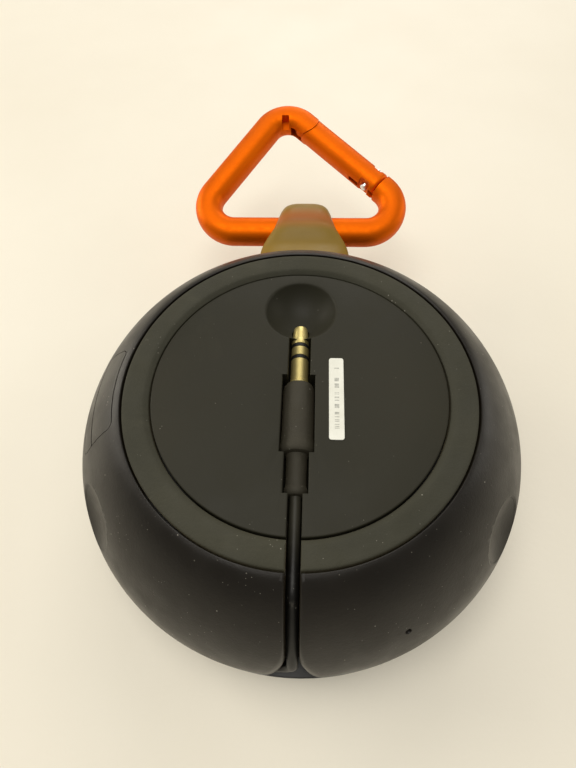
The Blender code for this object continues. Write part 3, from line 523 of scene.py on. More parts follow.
# ---------------------------------------------------------------- the dome's outline
def dome_point(t, inset=0.0):
    p = ((BODY_R, EQUATOR_Z), (BODY_R, 29.9), (35.94, BACK_Z), (SHOULDER_R, BACK_Z - 0.02))
    s = 1 - t
    r, z = (s ** 3 * p[0][k] + 3 * s * s * t * p[1][k] + 3 * s * t * t * p[2][k] + t ** 3 * p[3][k] for k in (0, 1))
    dr, dz = (3 * s * s * (p[1][k] - p[0][k]) + 6 * s * t * (p[2][k] - p[1][k]) + 3 * t * t * (p[3][k] - p[2][k]) for k in (0, 1))
    size = math.hypot(dr, dz)
    return r - inset * dz / size, z + inset * dr / size


def dome_frame(azimuth, height):
    low, high = 0.0, 1.0
    for _ in range(40):
        mid = (low + high) / 2
        low, high = (mid, high) if dome_point(mid)[1] < height else (low, mid)
    r, z = dome_point(low)
    r_in, z_in = dome_point(low, 1.0)
    a = math.radians(azimuth)
    radial = Vector((math.cos(a), math.sin(a), 0))
    around = Vector((-math.sin(a), math.cos(a), 0))
    normal = radial * (r - r_in) + Vector((0, 0, z - z_in))
    return radial * r + Vector((0, 0, z)), normal.normalized(), around, normal.cross(around).normalized()


def dome_outline(inset, steps, t_end=1.0):
    return [dome_point(t_end * i / steps, inset) for i in range(steps + 1)]


def solid_dome(name, inset, bottom, top, segments=SEG):
    line = dome_outline(inset, 40)
    edge = [(line[0][0], bottom)] + line + [(line[-1][0], top)] if top > line[-1][1] + 0.01 else [(line[0][0], bottom)] + line
    return revolve(name, [(0, bottom)] + edge + [(0, edge[-1][1])], segments)


KEYS = [(tag, *dome_frame(azimuth, 28.8)) for tag, azimuth in
        (("left_lower", 180 + KEY_AZ), ("right_lower", -KEY_AZ), ("left_upper", 180 - KEY_AZ), ("right_upper", KEY_AZ))]

# ---------------------------------------------------------------- rear housing
lower_lip = [(46.25, SPLIT_Z), (46.5, SPLIT_Z + 0.04), (46.7, SPLIT_Z + 0.16), (46.84, SPLIT_Z + 0.36), (46.93, SPLIT_Z + 0.7), (46.98, SPLIT_Z + 1.15)]
outline = lower_lip + [p for p in dome_outline(0, 56) if p[0] > SHOULDER_R + 0.34] + [(SHOULDER_R + 0.22, 41.97), (SHOULDER_R + 0.08, 41.9), (SHOULDER_R, 41.75)]
inner = [(SHOULDER_R, SEAT_Z), (0, SEAT_Z), (0, 36.9)]
inner += [(r, z) for r, z in reversed(dome_outline(2.3, 24)) if z > 17.2 and z < 36.9]
shell_line = outline + inner + [(44.5, 17.2), (44.5, SPLIT_Z)]
housing = revolve("rear_shell", shell_line)


def slot_width(z):
    """Half width of the cable slot at this height, flared where it meets the groove."""
    rise = max(z - SPLIT_Z, 0.0)
    if rise >= 2.2:
        return SLOT_W / 2
    return SLOT_W / 2 + 1.5 * (1.0 - math.sqrt(max(1.0 - (1.0 - rise / 2.2) ** 2, 0.0)))


def slot_lip(z):
    """Radius that rounds the slot's lips: crisp on the back, opening wide towards the groove."""
    t = max(0.0, min(1.0, (32.2 - z) / 11.0))
    return 0.42 + 3.9 * t ** 1.7


def slot_section(half, lip, deep):
    """Half of the slot's section: distance from the middle against distance out of the surface."""
    spots = []
    floor = min(half, 1.25)
    for a in (15, 35, 55, 75, 90):
        spots.append((half - floor + floor * math.sin(math.radians(a)), -deep + floor * (1 - math.cos(math.radians(a)))))
    low = spots[-1][1]
    for k in range(1, 21):
        n = low * (1 - k / 20) ** 1.8 - 0.0005
        inside = max(lip ** 2 - max(n + lip, 0.0) ** 2, 0.0)
        spots.append((half + lip - math.sqrt(inside) if n > -lip else half, n))
    return spots + [(spots[-1][0] + 0.25, 0.05), (spots[-1][0] + 0.5, 3.0)]


rib = prism("rib", [(-45.5, 17.35), (-40.6, 17.35), (-40.6, 19.5), (-38.7, 24.5), (-36.0, 30.0), (-31.5, 33.4), (-24.0, 34.2),
                    (-24.0, 38.3), (-45.5, 38.3)], -7.7, 7.7, along_x)
common(rib, solid_dome("core", 0.8, 15, 10))
join(housing, rib)
path = [((BODY_R, z), (1.0, 0.0)) for z in (14.0, 16.0, 16.9, 17.1, 17.35, 17.7, 18.1)]
for i in range(0, 65):
    r, z = dome_point(i / 64)
    r1, z1 = dome_point(i / 64, 1.0)
    if r > 34.3:
        path.append(((r, z), (r - r1, z - z1)))
path += [((r, BACK_Z), (0.0, 1.0)) for r in (31.0, 27.0, 23.2)]
rings = []
for (r, z), (nr, nz) in path:
    right = [(u, n) for u, n in slot_section(slot_width(z), slot_lip(z), SLOT_DEEP if r > 31.5 else 5.7)]
    ring_points = []
    for u, n in right + [(-u, n) for u, n in reversed(right)]:
        far = r + nr * n
        ring_points.append((far * math.sin(u / r), -far * math.cos(u / r), z + nz * n))
    rings.append(ring_points)
cut(housing, loft("slot_cutter", rings, 60))

DISH_R, DISH_DEEP = 18.5, 1.75


def dish(point, normal):
    """Ball that hollows a key and the skin round it."""
    ball = bmesh.new()
    bmesh.ops.create_uvsphere(ball, u_segments=128, v_segments=128, radius=DISH_R / 1000)
    bmesh.ops.transform(ball, matrix=Matrix.Translation((point + normal * (DISH_R - DISH_DEEP)) / 1000)
                        @ Vector((0, 0, 1)).rotation_difference(normal).to_matrix().to_4x4(), verts=ball.verts)
    return finish("dish", ball)


for tag, point, normal, around, down in KEYS:
    cut(housing, dish(point, normal))
    cut(housing, rod("key_hole", point + normal * 3.0, point - normal * 8.0, KEY_HOLE_R, 96))


def patch(name, r_in, r_out, half, low, high, corner, grow=0.0):
    """Patch of the dome seen from above, between two radii, with rounded corners."""
    mid = (r_in + r_out) / 2
    points = []
    for u, v in rounded(0, 0, 2 * math.radians(half) * mid + 2 * grow, r_out - r_in + 2 * grow, corner + grow, 8):
        points.append((u, v))
    dense = []
    for (u0, v0), (u1, v1) in zip(points, points[1:] + points[:1]):
        count = max(1, int(math.hypot(u1 - u0, v1 - v0) / 0.6))
        dense += [(u0 + (u1 - u0) * k / count, v0 + (v1 - v0) * k / count) for k in range(count)]
    spots = []
    for u, v in dense:
        a = math.radians(FLAP_AZ) + u / mid
        spots.append(((mid + v) * math.cos(a), (mid + v) * math.sin(a)))
    return prism(name, spots, low, high, along_z)


recess = patch("recess", FLAP_R0, FLAP_R2, FLAP_HALF, 26, 46, 1.3, 0.16)
cut(recess, solid_dome("under_flap", FLAP_T + GAP, 10, 20))
cut(housing, recess)
cut(housing, box("well", (-39.6, -5.2, 35.9), (-35.5, 5.2, 46)))
cut(housing, box("mouth", (-36.5, -4.2, 34.9), (-28.0, 4.2, 38.35)))
cut(housing, box("loop_hole", (-8.3, 36, 20.3), (8.3, 50, 27.9)))
mic_point, mic_normal, mic_around, mic_down = dome_frame(MIC_AZ, 29.5)
cut(housing, spun("mic_hole", mic_point - mic_normal * 5, mic_normal,
                  [(0, 0), (MIC_HOLE_R, 0), (MIC_HOLE_R, 4.7), (MIC_HOLE_R + 0.12, 4.95), (MIC_HOLE_R + 0.5, 5.2), (0, 5.2)], 32))
cut(housing, rod("bowl_room", (0, BOWL_Y, 30), (0, BOWL_Y, 46), 9.4, 64))
cut(housing, box("dock_room", (-5.3, -24.2, 30.0), (5.3, 15.6, 46)))
dress(housing, "rear_housing")

# ---------------------------------------------------------------- flap and its strip
flap = patch("port_cover", FLAP_R0 + 0.03, FLAP_R2, FLAP_HALF, 27, 46, 1.2)
root = patch("port_cover_root", FLAP_R0 + 0.03, FLAP_R2, FLAP_HALF, 27, 46, 1.2)
for piece, split, side in ((flap, FLAP_R1, "out"), (root, FLAP_R1 + 0.22, "in")):
    common(piece, solid_dome("skin", 0.0, 10, 20))
    cut(piece, solid_dome("core", FLAP_T, 10, 20))
    if side == "out":
        common(piece, revolve("split", [(0, 10), (split, 10), (split, 50), (0, 50)]))
    else:
        cut(piece, revolve("split", [(0, 10), (split, 10), (split, 50), (0, 50)]))
band = solid_dome("band", 0.55, 10, 20)
cut(band, rod("band_core", (0, 0, 5), (0, 0, 60), 38.8, 128))
cut(flap, band)
pad = prism("flap_plug", rounded(-37.3, 0, 2.6, 9.2, 0.7), 37.4, 39.0, along_z)
common(pad, solid_dome("skin", 0.9, 10, 20))
join(flap, pad)
dress(flap, "usb_flap")
dress(root, "usb_flap_root")

# ---------------------------------------------------------------- keys
for tag, point, normal, around, down in KEYS:
    key = rod("key_cap_" + tag, point + normal * 3.0, point - normal * 4.9, KEY_R, 96)
    common(key, solid_dome("skin", 0.0, 10, 20))
    cut(key, dish(point, normal))
    join(key, rod("flange", point - normal * 4.7, point - normal * 5.5, 7.0, 64))
    join(key, rod("stem", point - normal * 5.3, point - normal * 7.0, 1.5, 24))
    dress(key, "key_" + tag)

# ---------------------------------------------------------------- foot ring and centre panel
ring_line = [(RING_IN, SEAT_Z + GAP), (RING_OUT, SEAT_Z + GAP), (RING_OUT, BACK_Z - 0.4), (RING_OUT - 0.06, BACK_Z - 0.18),
             (RING_OUT - 0.2, BACK_Z - 0.05), (RING_OUT - 0.4, BACK_Z), (31.9, BACK_Z), (30.9, BACK_Z - 0.015), (29.9, BACK_Z - 0.02),
             (RING_LIP + 0.25, BACK_Z - 0.03), (RING_LIP, BACK_Z - 0.1), (RING_LIP - 0.25, BACK_Z - 0.26), (RING_IN + 0.25, BACK_Z - 0.6),
             (RING_IN + 0.08, BACK_Z - 0.75), (RING_IN, BACK_Z - 1.0)]
ring = revolve("foot_ring_skin", ring_line)
rings = []
for y in (-40.0, -30.0, -20.0):
    right = [(SLOT_W / 2, 30.0), (SLOT_W / 2, BACK_Z - 0.35)]
    right += [(SLOT_W / 2 + 0.35 * (1 - math.cos(math.radians(a))), BACK_Z - 0.35 + 0.35 * math.sin(math.radians(a))) for a in (20, 45, 70, 88)]
    right += [(SLOT_W / 2 + 0.55, BACK_Z + 0.06), (SLOT_W / 2 + 0.7, 50.0)]
    rings.append([(x, y, z) for x, z in right] + [(-x, y, z) for x, z in reversed(right)])
cut(ring, loft("ring_slot", rings, 60))
dress(ring, "foot_ring")

panel = revolve("centre_panel", [(0, 39.3), (24.6, 39.3), (24.6, SEAT_Z + GAP), (PANEL_R, SEAT_Z + GAP), (PANEL_R, PANEL_Z - 0.3),
                                 (PANEL_R - 0.05, PANEL_Z - 0.13), (PANEL_R - 0.15, PANEL_Z - 0.04), (PANEL_R - 0.32, PANEL_Z),
                                 (20, PANEL_Z), (10, PANEL_Z), (0, PANEL_Z)])
join(panel, box("dock_block", (-5.0, -23.6, 33.3), (5.0, 15.0, 40.4)))
join(panel, rod("bowl_block", (0, BOWL_Y, 35.0), (0, BOWL_Y, 40.4), 9.0, 96))
ball_r = (BOWL_R ** 2 + BOWL_DEEP ** 2) / (2 * BOWL_DEEP)
lip = 0.55
bowl = [(0, PANEL_Z - BOWL_DEEP - 10)]
bowl = []
steps = 28
a_end = math.asin(BOWL_R / ball_r) - 0.05
for i in range(steps + 1):
    a = a_end * i / steps
    bowl.append((ball_r * math.sin(a), PANEL_Z - BOWL_DEEP + ball_r * (1 - math.cos(a))))
end_r, end_z = bowl[-1]
slope = a_end
lip_r = (PANEL_Z - end_z) / (1 - math.cos(slope))
centre = (end_r + lip_r * math.sin(slope), end_z - lip_r * math.cos(slope))
for i in range(1, 9):
    a = slope * (1 - i / 8)
    bowl.append((centre[0] - lip_r * math.sin(a), centre[1] + lip_r * math.cos(a) + 0.004 * i / 8))
bowl.append((bowl[-1][0] + 0.4, PANEL_Z + 0.08))
bowl.append((bowl[-1][0], PANEL_Z + 4))
cut(panel, spun("bowl", (0, BOWL_Y, 0), (0, 0, 1), [(0, bowl[0][1])] + bowl[1:] + [(0, PANEL_Z + 4)], 128))


def trench(name, half, y0, y1, lip, steps=20):
    """Round-bottomed trench about the plug's axis with rounded lips."""
    right = [(half * math.cos(a), PLUG_Z + half * math.sin(a)) for a in (math.radians(-90 + 90 * i / steps) for i in range(steps + 1))]
    right = right[1:]
    right += [(half + lip * (1 - math.cos(math.radians(a))), PANEL_Z - lip + lip * math.sin(math.radians(a))) for a in (0, 30, 60, 88)]
    right += [(half + lip + 0.2, PANEL_Z + 0.06), (half + lip + 0.3, 47)]
    return loft(name, [[(x, y, z) for x, z in right] + [(-x, y, z) for x, z in reversed(right)] for y in (y0, y1)], 50)


cut(panel, trench("pin_trench", 2.15, 0.0, 12.3, 0.2))
cut(panel, trench("plug_trench", 3.12, -12.9, 2.9, 0.18))
cut(panel, trench("boot_trench", 2.2, -20.35, -12.0, 0.25))
cut(panel, trench("tail_slot", SLOT_W / 2, -30, -19.6, 0.2))
nest = [(0, 0), (1.8, 0), (1.8, 3.4), (1.72, 3.9), (1.5, 4.35), (1.1, 4.65), (0.6, 4.8), (0, 4.83)]
cut(panel, spun("tip_nest", (0, 11.6, PLUG_Z), (0, 1, 0), nest))
dress(panel, "rear_panel")

label_out = rounded(7.05, -1.95, 2.75, 17.1, 0.5, 10)
label_in = rounded(7.05, -1.95, 2.69, 17.04, 0.47, 10)
label = loft("label_film", [[(x, y, PANEL_Z + 0.04) for x, y in label_out], [(x, y, PANEL_Z + 0.15) for x, y in label_out],
                            [(x, y, PANEL_Z + 0.19) for x, y in label_in]])
dress(label, "blank_label")


# ---------------------------------------------------------------- docked plug
def turned(name, stations, node, look=None, segments=64):
    """Round piece on the plug's axis; stations are (y, radius), tip end first."""
    piece = spun(name, (0, 0, PLUG_Z), (0, 1, 0), [(0, stations[0][0])] + [(r, y) for y, r in stations] + [(0, stations[-1][0])], segments)
    return dress(piece, node, look)


def fillet(y, r, size, way=1, steps=5):
    """Rounded shoulder at (y, r): way 1 where the piece begins there, -1 where it ends."""
    spots = [(y - way * size * (1 - math.sin(math.radians(90 * i / steps))) , r - size * (1 - math.cos(math.radians(90 * i / steps)))) for i in range(steps + 1)]
    return spots if way < 0 else spots[::-1]


turned("plug_tip_skin", [(16.0, 0.9), (15.97, 1.1), (15.86, 1.26), (15.6, 1.38), (15.1, 1.46), (14.5, 1.51), (13.6, 1.57), (12.9, 1.62), (12.55, 1.66),
                         (12.45, 1.72), (12.35, 1.75), (11.6, 1.75), (11.55, 1.7)], "plug_tip")
turned("plug_band_front", [(11.5, 1.68), (11.45, 1.72), (10.8, 1.72), (10.75, 1.68)], "plug_insulator_front")
turned("plug_ring_skin", [(10.7, 1.7), (10.66, 1.75), (8.8, 1.75), (8.75, 1.7)], "plug_ring_contact")
turned("plug_band_rear", [(8.7, 1.68), (8.65, 1.72), (8.0, 1.72), (7.95, 1.68)], "plug_insulator_rear")
turned("plug_sleeve_skin", [(7.9, 1.7), (7.86, 1.75), (3.15, 1.75), (3.05, 1.82), (2.95, 1.9), (2.5, 1.9), (2.45, 1.86)], "plug_sleeve")
turned("plug_grip", [(2.4, 1.9), (2.36, 2.2), (2.25, 2.42), (2.0, 2.66), (1.7, 2.83), (1.3, 2.94), (0.8, 3.0), (-2.0, 3.0), (-6.5, 3.0),
                     (-8.6, 3.01), (-9.8, 3.04), (-10.3, 3.12), (-10.8, 3.2), (-11.4, 3.22), (-11.8, 3.14), (-12.05, 2.95), (-12.18, 2.6), (-12.2, 2.3)],
       "plug_overmould", "plug_rubber", 96)
turned("plug_boot", [(-12.25, 1.7), (-12.25, 2.0), (-12.7, 1.93), (-13.6, 1.88), (-15.3, 1.84), (-17.0, 1.82), (-18.0, 1.84), (-18.35, 1.92), (-18.55, 2.06),
                     (-18.9, 2.14), (-19.3, 2.12), (-19.6, 2.0), (-19.82, 1.8), (-19.9, 1.5)], "plug_relief", "plug_rubber", 96)


# ---------------------------------------------------------------- cable
def smooth_path(knots, steps):
    points = []
    for i in range(len(knots) - 1):
        a, b, c, d = (Vector(knots[max(0, min(len(knots) - 1, k))]) for k in (i - 1, i, i + 1, i + 2))
        for k in range(steps):
            t = k / steps
            points.append(0.5 * (2 * b + (c - a) * t + (2 * a - 5 * b + 4 * c - d) * t * t + (3 * b - a - 3 * c + d) * t ** 3))
    return points + [Vector(knots[-1])]


def rim(azimuth, r=CABLE_RIM_R, z=CABLE_RIM_Z):
    a = math.radians(azimuth)
    return Vector((r * math.cos(a), r * math.sin(a), z))


BEND_R, BEND_Z = 4.45, 20.1


def bend(angle):
    x = -BEND_R + BEND_R * math.cos(math.radians(angle))
    return Vector((x, -math.sqrt(CABLE_RIM_R ** 2 - x * x) + 0.25 * (angle + 90) / 90, BEND_Z + BEND_R * math.sin(math.radians(angle))))


def tube(name, points, radius, sides=24):
    """Round tube along points, with its section carried along without twist and flat capped ends."""
    points = [Vector(p) for p in points]
    up = Vector((0, 0, 1))
    rings = []
    for i, here in enumerate(points):
        along = (points[min(i + 1, len(points) - 1)] - points[max(i - 1, 0)]).normalized()
        if abs(along.dot(up)) > 0.95 and i == 0:
            up = Vector((1, 0, 0))
        side = along.cross(up).normalized()
        up = side.cross(along).normalized()
        rings.append([here + side * radius * math.cos(2 * math.pi * k / sides) + up * radius * math.sin(2 * math.pi * k / sides) for k in range(sides)])
    return loft(name, rings, 50)


bend_azimuth = 270 - math.degrees(math.asin(BEND_R / CABLE_RIM_R))
rim_points = [rim(-78 + (bend_azimuth - 1.0 + 78) * i / 240) for i in range(241)]
fixed_cable = tube("cable_in_groove", rim_points + [bend(a) for a in range(-90, 1, 5)], CABLE_R)
dress(fixed_cable, "aux_cable")
lead_knots = [(0, -44.95, BEND_Z + 0.35), (0, -44.6, 23.0)]
lead_knots += [(0, -r, z) for r, z in (dome_point(t, 2.0 + 1.3 * t) for t in (0.34, 0.48, 0.62))]
lead_knots += [(0, -35.6, 37.55), (0, -32.0, 38.1), (0, -27.0, PLUG_Z + 0.02), (0, -22.0, PLUG_Z), (0, -20.0, PLUG_Z)]
lead = tube("cable_in_slot", smooth_path([(0, -44.95, BEND_Z + 0.05)] + lead_knots[1:], 14), CABLE_R)
dress(lead, "aux_cable_lead", "lead_rubber", body=False)
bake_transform(lead)
gland = sweep("cable_collar", [rim(-84.5 + 6.1 * i / 16) for i in range(17)],
              lambda i: disc(0, 0, (1.16 - 0.04 * abs(i - 8) / 8) if 0 < i < 16 else 1.0, 32), lambda i: (0, 0, 1))
dress(gland, "cable_gland")

# ---------------------------------------------------------------- rubber loop


def ease(x):
    x = max(0.0, min(1.0, x))
    return x * x * (3 - 2 * x)


def curve_through(table, x):
    """Monotone smooth value through a table of (x, value)."""
    if x <= table[0][0]:
        return table[0][1]
    for (x0, v0), (x1, v1) in zip(table, table[1:]):
        if x <= x1:
            return v0 + (v1 - v0) * (x - x0) / (x1 - x0)
    return table[-1][1]


def softened(table, x, reach):
    return sum(curve_through(table, x + reach * (k - 4) / 4) for k in range(9)) / 9


half_width = [(43.0, 11.6), (46.0, 11.6), (48.6, 11.5), (50.6, 10.9), (52.6, 9.7), (54.8, 8.5), (57.2, 7.6), (60.4, 6.9), (62.5, 6.3), (65.2, 5.4)]
rings = []
ys = [44.6 + (65.1 - 44.6) * (1 - (1 - i / 60) ** 1.6) for i in range(61)]
for y in ys:
    half = softened(half_width, y, 1.4)
    d = y - BAR_Y
    top = 5.6 - 0.0 * y
    round_top = math.sqrt(max(6.9 ** 2 - d ** 2, 0.0)) if d > -4.6 else None
    if d > -3.0:
        high = math.sqrt(max(7.3 ** 2 - d ** 2, 0.0))
    else:
        at = math.sqrt(7.3 ** 2 - 9.0)
        high = at - (at - 5.0) * ease((-3.0 - d) / 6.5) + 0.6 * ease((-3.0 - d - 6.0) / 6.0)
    end = ease((65.1 - y) / 2.2) ** 0.5 if y > 62.9 else 1.0
    half *= 0.45 + 0.55 * end if y > 62.9 else 1.0
    high = max(high, 0.05)
    ring_points = []
    power = 3.4
    for k in range(72):
        a = 2 * math.pi * k / 72
        c, s = math.cos(a), math.sin(a)
        x = half * math.copysign(abs(c) ** (2 / power), c)
        z = BAR_Z + high * math.copysign(abs(s) ** (2 / power), s)
        ring_points.append((x, y, z))
    rings.append(ring_points)
loop = loft("strap_loop", rings, 60)
cut(loop, solid_dome("trim", -0.12, -5, 20))
join(loop, box("root", (-8.0, 39.6, 20.6), (8.0, 49.0, 27.6)))
bore = [(5.0, -20.0), (5.0, -9.5), (BORE_R, -6.5), (BORE_R, 6.5), (5.0, 9.5), (5.0, 20)]
cut(loop, rod("bore", (-20, BAR_Y, BAR_Z), (20, BAR_Y, BAR_Z), BORE_R, 96))
dress(loop, "loop_tab")

# ---------------------------------------------------------------- snap hook
TILT = math.radians(HOOK_TILT)
HOOK_ALONG = Vector((0, math.cos(TILT), math.sin(TILT)))
HOOK_UP = Vector((0, -math.sin(TILT), math.cos(TILT)))


def hook(a, b, c=0.0):
    return Vector((0, BAR_Y, BAR_Z)) + Vector((1, 0, 0)) * a + HOOK_ALONG * b + HOOK_UP * c


def tangent(first, second):
    dx, dy = second[0] - first[0], second[1] - first[1]
    size = math.hypot(dx, dy)
    turn = math.asin((first[2] - second[2]) / size)
    angle = math.atan2(dy, dx) + math.pi / 2 - turn
    n = Vector((math.cos(angle), math.sin(angle)))
    start, end = Vector(first[:2]) + n * first[2], Vector(second[:2]) + n * second[2]
    return start, end, (end - start).normalized()


def arc(corner, start, end, steps):
    a0 = math.atan2(start.y - corner[1], start.x - corner[0])
    a1 = math.atan2(end.y - corner[1], end.x - corner[0])
    while a1 > a0:
        a1 -= 2 * math.pi
    return [(corner[0] + corner[2] * math.cos(a0 + (a1 - a0) * i / steps), corner[1] + corner[2] * math.sin(a0 + (a1 - a0) * i / steps)) for i in range(steps + 1)]


gate_start, gate_end, gate_way = tangent(APEX, RIGHT)
bar_start, bar_end, bar_way = tangent(RIGHT, LEFT)
limb_start, limb_end, limb_way = tangent(LEFT, APEX)
nose = gate_end - gate_way * NOSE_BACK
pivot = gate_start + gate_way * 0.4
inward = Vector((gate_way.y, -gate_way.x))


def spread(line, gap=0.7):
    """Extra points along straight stretches, so that the tube bends evenly."""
    dense = [line[0]]
    for (x0, y0), (x1, y1) in zip(line, line[1:]):
        count = max(1, int(math.hypot(x1 - x0, y1 - y0) / gap))
        dense += [(x0 + (x1 - x0) * k / count, y0 + (y1 - y0) * k / count) for k in range(1, count + 1)]
    return dense


frame_line = spread([tuple(nose)] + arc(RIGHT, gate_end, bar_start, 40) + arc(LEFT, bar_end, limb_start, 40)
                    + arc(APEX, limb_end, gate_start, 40) + [tuple(pivot + gate_way * 4.2)])


def oval(w, t, steps=48, power=2.35):
    spots = []
    for i in range(steps):
        a = 2 * math.pi * (i + 0.5) / steps
        c, s = math.cos(a), math.sin(a)
        spots.append((w / 2 * math.copysign(abs(c) ** (2 / power), c), t / 2 * math.copysign(abs(s) ** (2 / power), s)))
    return spots


snap = sweep("hook_frame", [hook(*p) for p in frame_line], lambda i: oval(HOOK_W, HOOK_T), lambda i: HOOK_UP)


def in_hook(outline, low, high, name):
    return prism(name, outline, low, high, lambda u, v, w: hook(u, v, w))


def on_gate(s, w):
    p = pivot + gate_way * s + inward * w
    return (p.x, p.y)


def plate(s0, s1, w0, w1):
    return [on_gate(s0, w0), on_gate(s1, w0), on_gate(s1, w1), on_gate(s0, w1)]


END_R = 3.8
beyond = [on_gate(0, -6)] + [on_gate(END_R * math.sin(math.radians(a)), -END_R * math.cos(math.radians(a))) for a in range(0, 181, 5)]
beyond += [on_gate(0, 6), on_gate(7, 6), on_gate(7, -6)]
cut(snap, in_hook(beyond, -6, 6, "beyond"))
cut(snap, in_hook(disc(pivot.x, pivot.y, 4.3, 64), -1.45, 1.45, "tongue_slot"))
cut(snap, in_hook(plate(-9.5, -3.0, -0.2, 1.8), -0.9, 0.9, "spring_slot"))
cut(snap, in_hook(disc(pivot.x, pivot.y, 1.08, 32), -2.7, 2.7, "pivot_hole"))
cut(snap, in_hook(rounded(-6.2, 32.0, 2.0, 4.6, 0.35), 0.7, 6.0, "apex_slot"))

gate_len = (nose - pivot).length - 0.5
cuts = 40
gate_stations = [1.0 + (gate_len - 1.5) * i / cuts for i in range(cuts + 1)] + [gate_len - 0.35, gate_len - 0.15, gate_len]
gate_sizes = [(7.0, 6.5)] * (cuts + 1) + [(6.85, 6.35), (6.6, 6.1), (6.2, 5.7)]
gate = sweep("hook_gate_arm", [hook(*on_gate(s, 0)) for s in gate_stations], lambda i: oval(*gate_sizes[i]), lambda i: HOOK_UP)
cut(gate, in_hook(disc(pivot.x, pivot.y, 3.92, 96), -6, 6, "round_end"))
tongue = in_hook(plate(0, 6.2, -2.2, 2.2), -1.1, 1.1, "tongue")
join(tongue, in_hook(disc(pivot.x, pivot.y, 2.9, 48), -1.1, 1.1, "tongue_eye"))
join(gate, tongue)
cut(gate, in_hook(disc(pivot.x, pivot.y, 1.08, 32), -6, 6, "pivot_hole"))
join(snap, in_hook(plate(gate_len - 1.4, gate_len + 1.6, -2.3, 2.3), -0.8, 0.8, "catch"))
cut(gate, in_hook(plate(gate_len - 2.0, gate_len + 2.0, -5, 5), -1.2, 1.2, "catch_slot"))
pin_s = gate_len - 3.3
cut(gate, rod("pin_hole", hook(*on_gate(pin_s, -6)), hook(*on_gate(pin_s, 6)), 1.08, 32))
for sign in (-1, 1):
    outline = [on_gate(pin_s + u, v) for u, v in rounded(0, -3.9 if sign < 0 else 4.1, 3.1, 3.6, 0.6)]
    cut(gate, in_hook(outline, -5, 5, "notch"))
cut(gate, in_hook(plate(pin_s - 5.0, pin_s - 1.6, 1.6, 5.0), -0.75, 0.75, "relief_slot"))
dress(snap, "carabiner_frame")
dress(gate, "carabiner_gate")
first, second = hook(*on_gate(pin_s, -3.8)), hook(*on_gate(pin_s, 3.35))
dress(spun("latch_pin", first, second - first, [(0, 0), (0.55, 0.02), (0.85, 0.14), (1.0, 0.4), (1.0, 6.75), (0.85, 7.01), (0.55, 7.13), (0, 7.15)], 48), "gate_latch_pin")
dress(spun("pivot_pin", hook(pivot.x, pivot.y, -2.6), HOOK_UP, [(0, 0), (0.6, 0.03), (0.88, 0.16), (1.0, 0.4), (1.0, 4.8), (0.88, 5.04), (0.6, 5.17), (0, 5.2)], 48), "gate_pivot_pin")

# ---------------------------------------------------------------- front bezel, grille cloth and badge
bezel_line = [(46.8, GROOVE_Z - 0.02), (46.93, GROOVE_Z - 0.12), (47.0, GROOVE_Z - 0.35), (47.0, 13.3), (46.98, 12.2), (46.9, 11.0), (46.75, 9.8), (46.5, 8.7),
              (46.1, 7.6), (45.6, 6.6), (45.0, 5.75), (44.3, 5.0), (43.6, 4.5), (42.9, 4.15), (42.3, 4.0), (41.8, 4.05), (41.4, 4.3), (41.2, 4.75),
              (41.2, 7.6), (42.0, 7.6), (42.0, 18.6), (GROOVE_R, 18.6), (GROOVE_R, GROOVE_Z + 0.3), (GROOVE_R + 0.12, GROOVE_Z + 0.08), (GROOVE_R + 0.4, GROOVE_Z)]
dress(revolve("front_rim", bezel_line), "front_bezel")


def cloth_z(r):
    return 1.3 + 3.2 * (max(r - 14.8, 0) / 26.1) ** 2


under = [(r, cloth_z(r)) for r in (14.8 + (GRILLE_R - 14.8) * i / 26 for i in range(27))]
dress(revolve("grille_weave", [(0, 1.3), (7, 1.3)] + under + [(GRILLE_R + 0.2, cloth_z(GRILLE_R) + 0.25)]
              + [(r, z + 0.5) for r, z in reversed(under)] + [(0, 1.8)], 192), "grille_fabric")
dress(revolve("badge_plate", [(0, 0), (8, 0), (BADGE_R - 0.55, 0), (BADGE_R - 0.3, 0.04), (BADGE_R - 0.12, 0.16), (BADGE_R - 0.03, 0.34),
                              (BADGE_R, 0.5), (BADGE_R, 1.0), (0, 1.0)], 192), "front_badge")

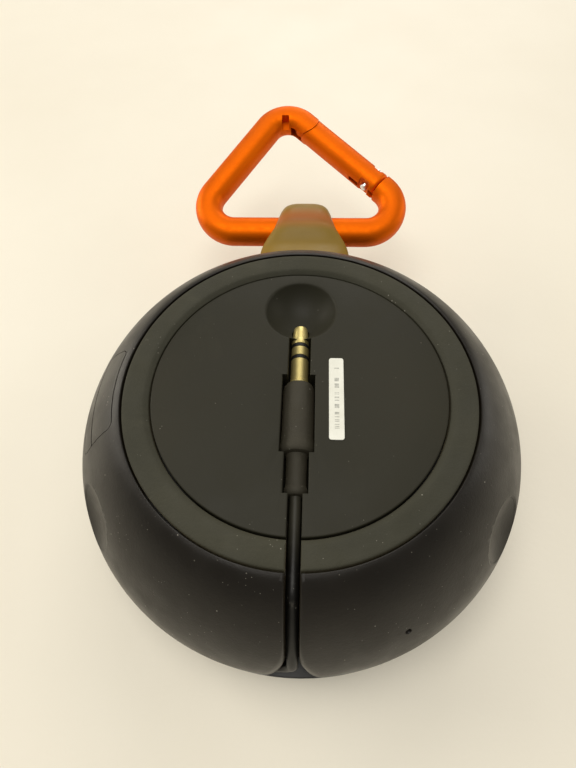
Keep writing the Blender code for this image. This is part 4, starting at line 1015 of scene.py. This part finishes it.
# ---------------------------------------------------------------- floor, light, camera
bm = bmesh.new()
bmesh.ops.create_grid(bm, x_segments=2, y_segments=2, size=3.0)
floor = finish("floor", bm)
g = Graph("floor_finish")
wash = g.noise(9.0, 4.0, 0.6)
g.set(colour=g.mix(g.remap(wash, 0.3, 0.7), srgb(230, 224, 209), srgb(235, 230, 216)), rough=g.remap(g.noise(40.0), 0.3, 0.7, 0.5, 0.6),
      normal=g.bump(g.noise(700.0, 2.0), 0.00004), level=0.35)
floor.data.materials.append(g.material)


def area(name, place, aim, size, power, colour):
    lamp = bpy.data.lights.new(name, "AREA")
    lamp.shape, lamp.size, lamp.energy, lamp.color = "SQUARE", size, power, colour
    thing = bpy.data.objects.new(name, lamp)
    thing.location = place
    thing.rotation_mode = "QUATERNION"
    thing.rotation_quaternion = (Vector(aim) - Vector(place)).to_track_quat("-Z", "Y")
    bpy.context.collection.objects.link(thing)
    return thing


area("ceiling", (-0.10, -0.08, 1.05), (0, 0.02, 0.02), 0.75, 6.5, (1.0, 0.965, 0.90))
area("window", (-1.15, 0.45, 0.46), (0, 0, 0.02), 0.8, 9.0, (1.0, 0.94, 0.82))
area("far_wall", (0.10, 1.20, 0.72), (0, 0, 0.02), 0.9, 6.2, (1.0, 0.965, 0.92))
area("near_wall", (1.15, 0.35, 0.40), (0, 0, 0.02), 0.8, 3.6, (1.0, 0.95, 0.86))
world = bpy.data.worlds.new("room")
world.use_nodes = True
world.node_tree.nodes["Background"].inputs[0].default_value = (1.0, 0.955, 0.87, 1)
world.node_tree.nodes["Background"].inputs[1].default_value = 0.30
scene = bpy.context.scene
scene.world = world
scene.view_settings.view_transform = "Standard"
scene.view_settings.look = "None"

lens = bpy.data.cameras.new("camera")
lens.lens, lens.sensor_width, lens.sensor_fit = 519.6 * 36 / 768, 36.0, "AUTO"
lens.clip_start, lens.clip_end = 0.002, 20.0
camera = bpy.data.objects.new("camera", lens)
camera.matrix_world = Matrix(((0.99890978, -0.02021234, 0.04207977, 0.002106), (0.03861894, 0.86421117, -0.50164493, -0.048193),
                              (-0.02622639, 0.5027231, 0.86404957, 0.125775), (0, 0, 0, 1)))
bpy.context.collection.objects.link(camera)
scene.camera = camera

bpy.context.view_layer.update()
